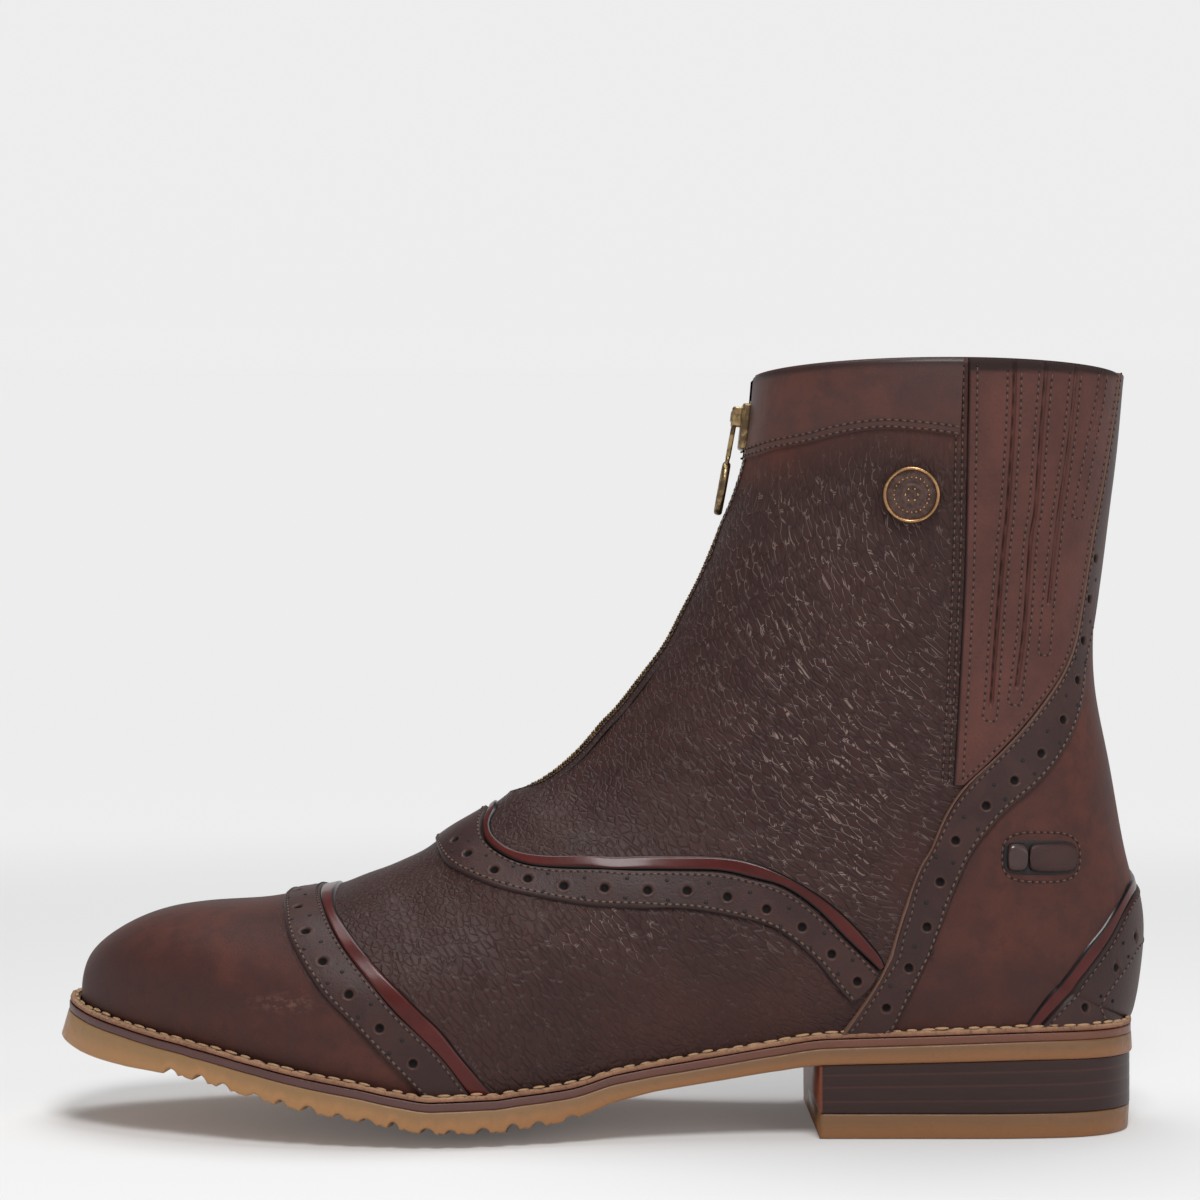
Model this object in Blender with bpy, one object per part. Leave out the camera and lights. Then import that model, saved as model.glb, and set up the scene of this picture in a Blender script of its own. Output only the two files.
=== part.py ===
"""Paddock boot, left foot, standing empty on its sole.

Metres, +Z up, floor at z = 0. The toe points to -X and the outer (lateral)
side faces -Y. A lasted leather upper stands on a welted gum sole with a
stacked heel, and carries brogued bands, patent pipings, pleated gussets,
spur rests and a front zip.
"""

import math

import bpy
import bmesh
from mathutils import Matrix, Vector

# Driving dimensions of the last and the shaft
LENGTH = 0.2695          # toe of the outsole to the back of the counter
BALL_WIDTH = 0.086       # upper across the ball
SHAFT_HEIGHT = 0.162     # insole edge at the heel to the collar
COLLAR_HUMP = 0.003      # rise of the collar at the sides
WALL = 0.002             # upper leather with its lining
CLEARANCE = 0.0003       # between pieces that touch

# Driving dimensions of the sole
TOE_SPRING = 0.0224      # tip of the outsole above the floor
CROWN = 0.0036           # rise of the forefoot's edges above its middle
HEEL_BLOCK = 0.0111      # stacked leather at the breast
TOP_LIFT = 0.0060        # rubber heel piece
GUM = 0.0056             # outsole with its lugs, at the ball
LUG_DEPTH = 0.0020
LUG_PITCH = 0.0068
LUG_TIP = 0.0030         # length of a lug's flat tip
MIDSOLE = 0.0017
WELT = 0.0010
INSOLE = 0.0025
INSOLE_EASE = 0.0024     # between the insole's edge and the wall
WELT_MARGIN = 0.0034     # welt beyond the upper's base at the ball
HEEL_BREAST = 0.0787     # length of the heel, from its back
TREAD_SLOPE = 0.0028     # how far the outsole's toe leans outwards
BLOCK_EASE = 0.0004      # heel block inside the outsole's outline
LIFT_EASE = 0.0006       # rubber heel piece inside it

# Driving dimensions of what is sewn and fixed on the upper
OVERLAY = 0.0011         # broguing bands
PIPING = 0.0013          # patent strips
COLLAR = 0.0007          # strip round the top
GUSSET = 0.0010          # pleated panels
GUSSET_SLIT = 0.0009
SPUR_REST = 0.0016
SEAM_GAP = 0.0012        # from the middle line to a piece of one side
EDGE_GAP = 0.0005        # between two pieces that lie edge to edge
ZIP_SLOT = 0.0110        # opening between the quarters' front edges
ZIP_TAPE = 0.0009
ZIP_TAPE_MARGIN = 0.0030  # tape hidden behind each edge
ZIP_TEETH = 0.0052
TEETH_PROUD = 0.0002     # teeth before the front line
SLIDER_LENGTH = 0.0115
SLIDER_WIDTH = 0.0085
SLIDER_PLATE = 0.0012
SLIDER_LUG = 0.0010
LUG_PIN = 0.0010         # radius of the pull's axis
PULL_LENGTH = 0.0250
PULL_WIDTH = 0.0075
PULL_NECK = 0.0028
PULL_THICKNESS = 0.0012
BUTTON_RADIUS = 0.0068
BUTTON_THICKNESS = 0.0026

HALF_LENGTH = LENGTH / 2
HALF_BALL = BALL_WIDTH / 2
HEEL_RISE = TOP_LIFT + CLEARANCE + HEEL_BLOCK + CLEARANCE
SOLE_STACK = CLEARANCE + MIDSOLE + CLEARANCE

# A row for each section of the upper, toe first. The x columns are shares of
# LENGTH from the back of the counter, the z columns shares of SHAFT_HEIGHT
# above the sole, and the widths and the swing towards the inner side shares
# of half of BALL_WIDTH. "wide" is where a section is widest, as a share of
# its depth from the back, and "crest" and "keel" are its roundness in front
# and behind.
SECTION_COLUMNS = (
    "front_x", "front_z", "back_x", "back_z",
    "outer", "inner", "base_outer", "base_inner",
    "wide", "crest", "keel", "swing",
)
SECTIONS = (
    (0.981, 0.000, 0.981, 0.000, 0.000, 0.000, 0.000, 0.000, 0.40, 2.2, 2.2, 0.090),
    (0.978, 0.050, 0.977, 0.000, 0.200, 0.200, 0.186, 0.186, 0.40, 2.3, 2.2, 0.088),
    (0.969, 0.090, 0.964, 0.000, 0.350, 0.350, 0.325, 0.325, 0.40, 2.4, 2.2, 0.080),
    (0.947, 0.130, 0.938, 0.000, 0.510, 0.505, 0.475, 0.470, 0.40, 2.4, 2.3, 0.066),
    (0.912, 0.171, 0.897, 0.000, 0.665, 0.665, 0.620, 0.615, 0.39, 2.4, 2.3, 0.044),
    (0.864, 0.204, 0.841, 0.000, 0.815, 0.820, 0.760, 0.765, 0.37, 2.4, 2.4, 0.022),
    (0.812, 0.234, 0.775, 0.000, 0.930, 0.925, 0.880, 0.870, 0.35, 2.4, 2.4, 0.008),
    (0.767, 0.271, 0.700, 0.000, 1.000, 1.000, 0.950, 0.948, 0.33, 2.3, 2.4, 0.000),
    (0.723, 0.306, 0.630, 0.000, 0.990, 0.950, 0.945, 0.885, 0.32, 2.2, 2.4, 0.000),
    (0.678, 0.328, 0.559, 0.000, 0.930, 0.890, 0.860, 0.810, 0.32, 2.1, 2.3, 0.000),
    (0.637, 0.342, 0.470, 0.000, 0.850, 0.810, 0.735, 0.690, 0.32, 2.1, 2.2, 0.000),
    (0.598, 0.353, 0.366, 0.000, 0.790, 0.755, 0.665, 0.625, 0.31, 2.1, 2.2, 0.000),
    (0.570, 0.360, 0.240, 0.000, 0.755, 0.735, 0.662, 0.640, 0.30, 2.1, 2.2, 0.000),
    (0.545, 0.378, 0.129, 0.000, 0.735, 0.725, 0.660, 0.650, 0.30, 2.1, 2.2, 0.000),
    (0.524, 0.407, 0.062, 0.000, 0.730, 0.725, 0.585, 0.580, 0.30, 2.1, 2.2, 0.000),
    (0.511, 0.431, 0.026, 0.000, 0.725, 0.725, 0.370, 0.370, 0.30, 2.1, 2.2, 0.000),
    (0.500, 0.453, 0.014, 0.000, 0.720, 0.720, 0.000, 0.000, 0.30, 2.1, 2.3, 0.000),
    (0.485, 0.479, 0.005, 0.069, 0.720, 0.720, 0.000, 0.000, 0.31, 2.1, 2.3, 0.000),
    (0.465, 0.522, 0.002, 0.160, 0.715, 0.715, 0.000, 0.000, 0.33, 2.1, 2.3, 0.000),
    (0.443, 0.571, 0.016, 0.262, 0.705, 0.705, 0.000, 0.000, 0.36, 2.1, 2.2, 0.000),
    (0.426, 0.624, 0.029, 0.386, 0.695, 0.695, 0.000, 0.000, 0.39, 2.1, 2.2, 0.000),
    (0.409, 0.679, 0.043, 0.509, 0.695, 0.695, 0.000, 0.000, 0.42, 2.1, 2.2, 0.000),
    (0.394, 0.738, 0.043, 0.624, 0.710, 0.710, 0.000, 0.000, 0.44, 2.1, 2.2, 0.000),
    (0.379, 0.796, 0.034, 0.759, 0.730, 0.730, 0.000, 0.000, 0.45, 2.1, 2.2, 0.000),
    (0.366, 0.870, 0.026, 0.866, 0.750, 0.750, 0.000, 0.000, 0.46, 2.1, 2.2, 0.000),
    (0.359, 0.981, 0.020, 0.979, 0.765, 0.765, 0.000, 0.000, 0.47, 2.1, 2.2, 0.000),
)
HEEL_ROW = 16            # the row whose base is the back end of the sole

# A row for each station of the sole, heel first: x as a share of LENGTH, the
# tread as shares of HEEL_RISE and of TOE_SPRING, the rubber's thickness as a
# share of GUM, and the rise of the edges as a share of CROWN.
SOLE_COLUMNS = ("x", "heel", "toe", "gum", "crown")
SOLE_LINE = (
    (0.000, 1.060, 0.000, 0.84, 0.00),
    (0.110, 1.070, 0.000, 0.80, 0.00),
    (0.210, 1.035, 0.000, 0.76, 0.00),
    (0.304, 1.000, 0.000, 0.72, 0.00),
    (0.337, 0.915, 0.000, 0.68, 0.09),
    (0.394, 0.745, 0.000, 0.66, 0.28),
    (0.452, 0.580, 0.000, 0.66, 0.46),
    (0.490, 0.400, 0.000, 0.78, 0.66),
    (0.520, 0.205, 0.000, 0.92, 0.75),
    (0.547, 0.105, 0.000, 1.00, 0.84),
    (0.571, 0.045, 0.000, 1.02, 0.93),
    (0.592, 0.000, 0.000, 1.00, 1.00),
    (0.620, 0.000, 0.000, 0.98, 1.00),
    (0.648, 0.000, 0.000, 0.95, 1.00),
    (0.672, 0.000, 0.050, 0.92, 1.00),
    (0.711, 0.000, 0.145, 0.97, 0.92),
    (0.760, 0.000, 0.255, 1.00, 0.81),
    (0.804, 0.000, 0.395, 0.98, 0.67),
    (0.863, 0.000, 0.590, 0.94, 0.45),
    (0.897, 0.000, 0.662, 1.04, 0.32),
    (0.927, 0.000, 0.715, 1.20, 0.20),
    (0.966, 0.000, 0.820, 1.28, 0.06),
    (1.000, 0.000, 1.000, 1.20, 0.00),
)
FLAT_TREAD = 0.50        # middle share of the forefoot's width without crown
LUGS_FROM = 0.890        # share of LENGTH where the lugs begin, behind the toe
LUGS_TO = 0.508
LUG_FLANK = 0.27         # share of a groove's width that each flank takes
LEAN_FROM = 0.80         # share of LENGTH beyond which the toe's wall leans
# The welt's reach beyond the upper, as a share of WELT_MARGIN at shares of LENGTH
WELT_REACH = ((0.0, 0.45), (0.40, 0.60), (0.62, 1.0), (0.85, 1.0), (0.95, 0.70), (1.0, 0.70))

# Edges of what is sewn on, seen from the side: x as a share of LENGTH from
# the back of the counter, z as a share of SHAFT_HEIGHT above the heel seat.
TOE_FRONT = (
    (0.800, 0.320), (0.795, 0.200), (0.778, 0.147), (0.759, 0.098),
    (0.725, 0.035), (0.687, -0.030), (0.655, -0.085), (0.640, -0.120),
)
TOE_REAR = (
    (0.757, 0.320), (0.755, 0.200), (0.747, 0.175), (0.735, 0.146),
    (0.699, 0.077), (0.656, 0.006), (0.621, -0.061), (0.590, -0.120),
)
TOE_PIPED = (
    (0.738, 0.320), (0.738, 0.196), (0.734, 0.175), (0.726, 0.157),
    (0.691, 0.095), (0.657, 0.041), (0.621, -0.026), (0.570, -0.120),
)
WING_LOW = (
    (0.680, 0.360), (0.655, 0.277), (0.640, 0.244), (0.622, 0.229),
    (0.593, 0.212), (0.536, 0.193), (0.465, 0.182), (0.409, 0.179),
    (0.352, 0.158), (0.310, 0.107), (0.278, 0.045),
)
WING_HIGH = (
    (0.608, 0.400), (0.606, 0.305), (0.605, 0.278), (0.588, 0.257),
    (0.564, 0.244), (0.479, 0.237), (0.394, 0.236), (0.365, 0.226),
    (0.310, 0.183), (0.282, 0.136), (0.256, 0.090),
)
WING_PIPED = (
    (0.598, 0.400), (0.594, 0.302), (0.592, 0.285), (0.576, 0.268),
    (0.551, 0.260), (0.451, 0.260), (0.394, 0.259), (0.360, 0.249),
    (0.332, 0.229), (0.301, 0.199), (0.275, 0.162), (0.249, 0.113),
)
BACK_FRONT = (
    (0.290, -0.080), (0.286, -0.002), (0.270, 0.035), (0.252, 0.082),
    (0.242, 0.124), (0.230, 0.186), (0.215, 0.246), (0.193, 0.322),
    (0.175, 0.366), (0.148, 0.409), (0.123, 0.451), (0.100, 0.495),
    (0.083, 0.536), (0.073, 0.580), (0.062, 0.680), (0.047, 0.821),
    (0.036, 0.912), (0.029, 1.060),
)
GUSSET_FOOT = 8          # the point of BACK_FRONT where the gusset begins
BACK_REAR = (
    (0.243, -0.080), (0.230, 0.035), (0.213, 0.092), (0.196, 0.162),
    (0.182, 0.218), (0.158, 0.292), (0.140, 0.326), (0.109, 0.367),
    (0.094, 0.394), (0.080, 0.429), (0.069, 0.469), (0.062, 0.530),
    (-0.030, 0.560), (-0.030, 1.060),
)
GUSSET_FRONT = (
    (0.188, 0.362), (0.181, 0.492), (0.177, 0.640), (0.175, 0.817),
    (0.164, 0.980), (0.160, 1.060),
)
SLITS = (
    ((0.156, 0.450), (0.140, 0.728), (0.130, 1.060)),
    ((0.131, 0.482), (0.116, 0.728), (0.100, 1.060)),
    ((0.104, 0.556), (0.093, 0.728), (0.072, 1.060)),
    ((0.0725, 0.762), (0.055, 0.894), (0.044, 1.060)),
)
GUSSET_SEAM = (
    (0.182, 0.830), (0.179, 0.817), (0.168, 0.980), (0.164, 1.060),
)
COLLAR_FRONT = (
    (0.206, 0.886), (0.253, 0.891), (0.283, 0.885), (0.313, 0.873),
    (0.361, 0.856), (0.400, 0.850), (0.400, 1.060),
)
HEEL_PIPED = (
    (-0.030, 0.270), (0.016, 0.218), (0.035, 0.184), (0.049, 0.153),
    (0.065, 0.123), (0.084, 0.085), (0.103, 0.053), (0.122, 0.011),
    (0.140, -0.080),
)
HEEL_HIGH = (
    (-0.030, 0.245), (0.012, 0.199), (0.027, 0.172), (0.040, 0.140),
    (0.056, 0.105), (0.072, 0.073), (0.090, 0.040), (0.109, 0.006),
    (0.126, -0.080),
)
HEEL_LOW = (
    (-0.030, 0.145), (0.010, 0.114), (0.024, 0.087), (0.038, 0.061),
    (0.057, 0.025), (0.075, -0.020), (0.085, -0.080),
)
SPUR_FRONT = (
    (0.112, 0.217), (0.136, 0.219), (0.144, 0.230), (0.147, 0.258),
    (0.144, 0.286), (0.136, 0.296), (0.112, 0.298),
)
SPUR_REAR = (
    (0.107, 0.217), (0.079, 0.219), (0.071, 0.230), (0.068, 0.258),
    (0.071, 0.286), (0.079, 0.296), (0.107, 0.298),
)
BUTTON = (0.223, 0.795)

THROAT_ROW = 11.5        # where the zip's slot begins
ROW_LENGTH = 0.009       # between two rows along the front line
TEETH_START = 0.9        # rows from the throat to the first teeth
TEETH_END = 0.10         # rows from the last teeth to the collar
SLIDER_ROW = 24.35
SLIDER_LIFT = 0.0006     # slider before the teeth
PULL_TIP_ROW = 22.4

# Rows of the table from and to, and stations in each, for the upper's mesh
STATIONS = ((0, 4, 2), (4, 10, 1), (10, 17, 2), (17, 25, 1))
COLUMNS = 20             # of the upper, both sides together
SOLE_BANDS = (-1.0, -FLAT_TREAD, FLAT_TREAD, 1.0)


def along(share):
    """X at a share of the length, counted from the back of the counter."""
    return HALF_LENGTH - share * LENGTH


def share_at(x):
    return (HALF_LENGTH - x) / LENGTH


def spline(values, t):
    """Catmull-Rom value at t, in rows, of a list with a row at each integer."""
    last = len(values) - 1
    t = min(max(t, 0.0), last)
    i = min(int(t), last - 1)
    f = t - i
    before = values[max(i - 1, 0)]
    start = values[i]
    end = values[i + 1]
    after = values[min(i + 2, last)]
    slope_start = (end - before) / 2 if i > 0 else end - start
    slope_end = (after - start) / 2 if i + 1 < last else end - start
    square = f * f
    cube = square * f
    return (
        (2 * cube - 3 * square + 1) * start
        + (cube - 2 * square + f) * slope_start
        + (3 * square - 2 * cube) * end
        + (cube - square) * slope_end
    )


def row_value(column, t):
    index = SECTION_COLUMNS.index(column)
    return spline([row[index] for row in SECTIONS], t)


def sole_value(column, x):
    """A value of the sole's table at a place along the boot."""
    index = SOLE_COLUMNS.index(column)
    share = min(max(share_at(x), 0.0), 1.0)
    i = 0
    while i < len(SOLE_LINE) - 2 and SOLE_LINE[i + 1][0] < share:
        i += 1
    f = (share - SOLE_LINE[i][0]) / (SOLE_LINE[i + 1][0] - SOLE_LINE[i][0])
    return spline([row[index] for row in SOLE_LINE], i + f)


def base_edge(t, side):
    """A point on the outline of the upper's base; side -1 outer, 1 inner."""
    column = "base_inner" if side > 0 else "base_outer"
    x = along(row_value("back_x", t))
    y = (row_value("swing", t) + side * max(row_value(column, t), 0.0)) * HALF_BALL
    return Vector((x, y))


def welt_reach(x):
    """How far the welt stands out beyond the upper's base."""
    share = min(max(share_at(x), 0.0), 1.0)
    factor = WELT_REACH[-1][1]
    for (start, low), (end, high) in zip(WELT_REACH, WELT_REACH[1:]):
        if start <= share <= end:
            factor = low + (high - low) * (share - start) / (end - start)
    return WELT_MARGIN * factor


def outline(margin, side, places=None):
    """The sole's outline on one side, offset outwards by margin(x)."""
    count = 90
    if places is None:
        places = [HEEL_ROW * k / count for k in range(count + 1)]
    points = []
    for t in places:
        step = 0.02
        here = base_edge(t, side)
        ahead = base_edge(min(t + step, HEEL_ROW), side)
        behind = base_edge(max(t - step, 0.0), side)
        tangent = (ahead - behind).normalized()
        if t == 0:
            tangent = Vector((0.0, side * 1.0))
        if t == HEEL_ROW:
            tangent = Vector((0.0, -side * 1.0))
        normal = Vector((-tangent.y, tangent.x)) * side
        points.append(here + normal * margin(here.x))
    return points


class Outline:
    """Half outlines of a layer, read by x."""

    def __init__(self, margin):
        self.halves = {side: outline(margin, side) for side in (-1, 1)}
        self.toe = self.halves[1][0].x
        self.heel = self.halves[1][-1].x

    def edge(self, x, side):
        points = self.halves[side]
        for a, b in zip(points, points[1:]):
            if a.x <= x <= b.x and b.x > a.x:
                return a.y + (b.y - a.y) * (x - a.x) / (b.x - a.x)
        return points[0].y if x < self.toe else points[-1].y


REACH = Outline(welt_reach)


def crown_at(x, y):
    """Rise of the sole above its middle line, towards its edges."""
    outer = REACH.edge(x, -1)
    inner = REACH.edge(x, 1)
    middle = (outer + inner) / 2
    half = max((inner - outer) / 2, 0.001)
    share = abs(y - middle) / half
    beyond = max(share - FLAT_TREAD, 0.0) / (1 - FLAT_TREAD)
    return CROWN * sole_value("crown", x) * beyond


def tread(x, y):
    """Height of the outsole's lowest surface."""
    line = HEEL_RISE * sole_value("heel", x) + TOE_SPRING * sole_value("toe", x)
    return max(line, 0.0) + crown_at(x, y)


def gum_top(x, y):
    return tread(x, y) + GUM * sole_value("gum", x)


def bed(x, y):
    """Where the upper and the insole stand, on the midsole."""
    return gum_top(x, y) + SOLE_STACK


def section_frame(t):
    """Front and back point of the section at row t, and its outline values."""
    swing = row_value("swing", t) * HALF_BALL
    back_x = along(row_value("back_x", t))
    base = bed(min(back_x, along(SECTIONS[HEEL_ROW][2])), base_edge(min(t, HEEL_ROW), -1).y)
    front = Vector((along(row_value("front_x", t)), swing, base + SHAFT_HEIGHT * row_value("front_z", t)))
    back_z = max(row_value("back_z", t), 0.0) if t > HEEL_ROW else 0.0
    back = Vector((back_x, swing, base + SHAFT_HEIGHT * back_z))
    return front, back


def upper_point(t, a):
    """Point of the upper's surface: a is 0 in front, -1 and 1 at the base."""
    front, back = section_frame(t)
    side = 1 if a > 0 else -1
    half = max(row_value("inner" if side > 0 else "outer", t), 0.0) * HALF_BALL
    base = 0.0
    if t < HEEL_ROW:
        base = max(row_value("base_inner" if side > 0 else "base_outer", t), 0.0) * HALF_BALL
    wide = row_value("wide", t)
    split = 0.5
    reach = abs(a)
    if reach <= split:
        angle = math.pi / 2 * reach / split
        power = 2 / row_value("crest", t)
        depth = wide + (1 - wide) * max(math.cos(angle), 0.0) ** power
        out = half * math.sin(angle) ** power
    else:
        angle = math.pi / 2 * (reach - split) / (1 - split)
        keel = row_value("keel", t)
        drop = math.sin(angle)
        narrow = 1 - (base / half) ** keel if half > 0 else 1.0
        depth = wide * (1 - drop)
        out = half * max(1 - narrow * drop ** keel, 0.0) ** (1 / keel)
    point = back.lerp(front, depth)
    hump = COLLAR_HUMP * max(t - HEEL_ROW, 0.0) / (len(SECTIONS) - 1 - HEEL_ROW)
    point.z += hump * math.sin(math.pi * depth) ** 0.5 if 0 < depth < 1 else 0.0
    point.y += side * out
    return point


def new_object(name, mesh_builder, material):
    mesh = bpy.data.meshes.new(name)
    mesh_builder.to_mesh(mesh)
    mesh_builder.free()
    mesh.materials.append(material)
    item = bpy.data.objects.new(name, mesh)
    bpy.context.scene.collection.objects.link(item)
    return item


def finish_material(name, colour, roughness, metallic=0.0):
    material = bpy.data.materials.new(name)
    material.use_nodes = True
    shader = material.node_tree.nodes["Principled BSDF"]
    shader.inputs["Base Color"].default_value = (*colour, 1.0)
    shader.inputs["Roughness"].default_value = roughness
    shader.inputs["Metallic"].default_value = metallic
    return material


def mesh_rows():
    """Places in the table of sections where the upper's mesh has a station."""
    places = [0.0]
    for first, last, each in STATIONS:
        for k in range((last - first) * each):
            places.append(first + (k + 1) / each)
    return places


def upper_shell(low, high, columns=COLUMNS):
    """Closed wall between two offsets of the upper's surface."""
    builder = bmesh.new()
    places = mesh_rows()
    base_rows = sum(1 for t in places if t <= HEEL_ROW)
    grid = []
    for t in places:
        grid.append([builder.verts.new(upper_point(t, -1 + 2 * j / columns)) for j in range(columns + 1)])
    for lower, above in zip(grid, grid[1:]):
        for j in range(columns):
            builder.faces.new((lower[j], above[j], above[j + 1], lower[j + 1]))
    bmesh.ops.remove_doubles(builder, verts=builder.verts, dist=0.00005)
    bmesh.ops.triangulate(builder, faces=builder.faces, quad_method="SHORT_EDGE")
    bmesh.ops.recalc_face_normals(builder, faces=builder.faces)
    builder.normal_update()
    topmost = max(builder.faces, key=lambda face: -abs(face.calc_center_median().y) + face.normal.z)
    if topmost.normal.z < 0:
        bmesh.ops.reverse_faces(builder, faces=builder.faces)
        builder.normal_update()
    verts = list(builder.verts)
    normals = {vert: vert.normal.copy() for vert in verts}
    for row in grid[:base_rows]:
        for vert in (row[0], row[-1]):
            if vert.is_valid:
                normals[vert].z = 0.0
                normals[vert].normalize()
    inner = {vert: builder.verts.new(vert.co + normals[vert] * low) for vert in verts}
    edges = [edge for edge in builder.edges if len(edge.link_faces) == 1]
    rims = [(edge.link_loops[0].vert, edge.other_vert(edge.link_loops[0].vert)) for edge in edges]
    faces = list(builder.faces)
    for face in faces:
        builder.faces.new([inner[vert] for vert in reversed(face.verts)])
    for start, end in rims:
        builder.faces.new((end, start, inner[start], inner[end]))
    for vert in verts:
        vert.co += normals[vert] * high
    builder.normal_update()
    return builder


def layer(xs, shape, top, bottom, bands=SOLE_BANDS):
    """Closed plate of the sole between two height functions."""
    builder = bmesh.new()
    sheets = []
    for height in (top, bottom):
        sheet = []
        for x in xs:
            outer = shape.edge(x, -1)
            inner = shape.edge(x, 1)
            row = []
            for band in bands:
                y = outer + (inner - outer) * (band + 1) / 2
                row.append(builder.verts.new((x, y, height(x, y))))
            sheet.append(row)
        sheets.append(sheet)
    over, under = sheets
    last = len(bands) - 1
    for i in range(len(xs) - 1):
        for j in range(last):
            builder.faces.new((over[i][j], over[i + 1][j], over[i + 1][j + 1], over[i][j + 1]))
            builder.faces.new((under[i][j], under[i][j + 1], under[i + 1][j + 1], under[i + 1][j]))
        builder.faces.new((over[i][0], under[i][0], under[i + 1][0], over[i + 1][0]))
        builder.faces.new((over[i][last], over[i + 1][last], under[i + 1][last], under[i][last]))
    for i in (0, len(xs) - 1):
        for j in range(last):
            builder.faces.new((over[i][j], over[i][j + 1], under[i][j + 1], under[i][j]))
    bmesh.ops.remove_doubles(builder, verts=builder.verts, dist=0.00002)
    loose = [face for face in builder.faces if face.calc_area() < 1e-12]
    bmesh.ops.delete(builder, geom=loose, context="FACES")
    bmesh.ops.recalc_face_normals(builder, faces=builder.faces)
    return builder


def rounded_stations(start, end, count, round_start=True, round_end=True):
    """Places from start to end, closer together at a rounded end."""
    places = []
    for k in range(count + 1):
        share = k / count
        if round_start and round_end:
            share = (1 - math.cos(math.pi * share)) / 2
        elif round_start:
            share = 1 - math.cos(math.pi / 2 * share)
        elif round_end:
            share = math.sin(math.pi / 2 * share)
        places.append(start + (end - start) * share)
    return places


def lug_stations(first, last):
    """Stations of the lugs, and for each whether it lies in a groove."""
    count = int((last - first) / LUG_PITCH)
    flank = (LUG_PITCH - LUG_TIP) * LUG_FLANK
    stations = []
    for k in range(count):
        start = first + k * LUG_PITCH
        stations.append((start, 0.0))
        stations.append((start + flank, 1.0))
        stations.append((start + LUG_PITCH - LUG_TIP - flank, 1.0))
        stations.append((start + LUG_PITCH - LUG_TIP, 0.0))
    return stations


def build_outsole(material):
    toe_end = REACH.toe
    heel_end = REACH.heel
    first_lug = along(LUGS_FROM)
    last_lug = along(LUGS_TO)
    lugs = lug_stations(first_lug, last_lug)
    grooves = dict(lugs)
    front = rounded_stations(toe_end, first_lug, 8, True, False)[:-1]
    rear = rounded_stations(lugs[-1][0] + LUG_TIP, heel_end, 15, False, True)
    xs = front + [x for x, groove in lugs] + rear

    def bottom(x, y):
        return tread(x, y) + LUG_DEPTH * grooves.get(x, 0.0)

    builder = layer(xs, REACH, gum_top, bottom)
    for vert in builder.verts:
        beside = gum_top(vert.co.x, vert.co.y) - vert.co.z
        lean = TREAD_SLOPE * min(beside / GUM, 1.0)
        share = min(max((share_at(vert.co.x) - LEAN_FROM) / (1 - LEAN_FROM), 0.0), 1.0)
        vert.co.x -= lean * share * share
    return new_object("outsole", builder, material)


def base_stations(shape):
    """The stations of the upper's base, and a layer's own rounded ends."""
    places = [base_edge(t, 1).x for t in mesh_rows() if 0 < t < HEEL_ROW]
    inside = [x for x in places if shape.toe + 0.004 < x < shape.heel - 0.006]
    toe_end = rounded_stations(shape.toe, inside[0], 4, True, False)[:-1]
    heel_end = rounded_stations(inside[-1], shape.heel, 5, False, True)[1:]
    return toe_end + inside + heel_end


def build_midsole(material):
    xs = base_stations(REACH)
    builder = layer(
        xs, REACH,
        lambda x, y: gum_top(x, y) + CLEARANCE + MIDSOLE,
        lambda x, y: gum_top(x, y) + CLEARANCE,
    )
    return new_object("midsole", builder, material)


def build_insole(material):
    inside = Outline(lambda x: -(WALL + INSOLE_EASE))
    xs = base_stations(inside)
    builder = layer(
        xs, inside,
        lambda x, y: bed(x, y) + CLEARANCE + INSOLE,
        lambda x, y: bed(x, y) + CLEARANCE,
    )
    return new_object("insole", builder, material)


def ring_body(inner_margin, outer_margin, low, high):
    """Ring round the upper's base, between two heights over the midsole."""
    inner = ring_points(inner_margin)
    outer = ring_points(outer_margin)
    builder = bmesh.new()
    loops = []
    for points, rise in ((inner, low), (outer, low), (outer, high), (inner, high)):
        loops.append([builder.verts.new((p.x, p.y, bed(p.x, p.y) + rise)) for p in points])
    for k in range(len(inner)):
        after = (k + 1) % len(inner)
        for a, b in zip(loops, loops[1:] + loops[:1]):
            builder.faces.new((a[k], a[after], b[after], b[k]))
    bmesh.ops.recalc_face_normals(builder, faces=builder.faces)
    return builder


def build_welt(material):
    """Strip round the upper, on the midsole's edge."""
    builder = ring_body(
        lambda x: 4 * CLEARANCE, lambda x: welt_reach(x) - CLEARANCE,
        CLEARANCE, CLEARANCE + WELT,
    )
    return new_object("welt", builder, material)


def welt_zone():
    """Room that the bands leave for the welt."""
    builder = ring_body(
        lambda x: -WALL, lambda x: 3 * WELT_MARGIN,
        -WELT, WELT + 2 * CLEARANCE,
    )
    return cutter_object("welt_zone", builder)


def ring_points(margin):
    """Whole outline as a ring of points, outer side then inner side."""
    places = [t for t in mesh_rows() if t <= HEEL_ROW]
    outer = outline(margin, -1, places)
    inner = outline(margin, 1, places)
    return outer + list(reversed(inner))[1:-1]


def heel_layer(name, top, bottom, shrink, material):
    shape = Outline(lambda x: welt_reach(x) - shrink)
    xs = rounded_stations(shape.heel - HEEL_BREAST, shape.heel, 12, False, True)
    builder = layer(xs, shape, top, bottom, (-1.0, 0.0, 1.0))
    return new_object(name, builder, material)


def build_heel(block_material, lift_material):
    heel_layer(
        "heel_block",
        lambda x, y: tread(x, y) - CLEARANCE,
        lambda x, y: TOP_LIFT + CLEARANCE,
        BLOCK_EASE, block_material,
    )
    heel_layer("top_lift", lambda x, y: TOP_LIFT, lambda x, y: 0.0, LIFT_EASE, lift_material)


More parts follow.
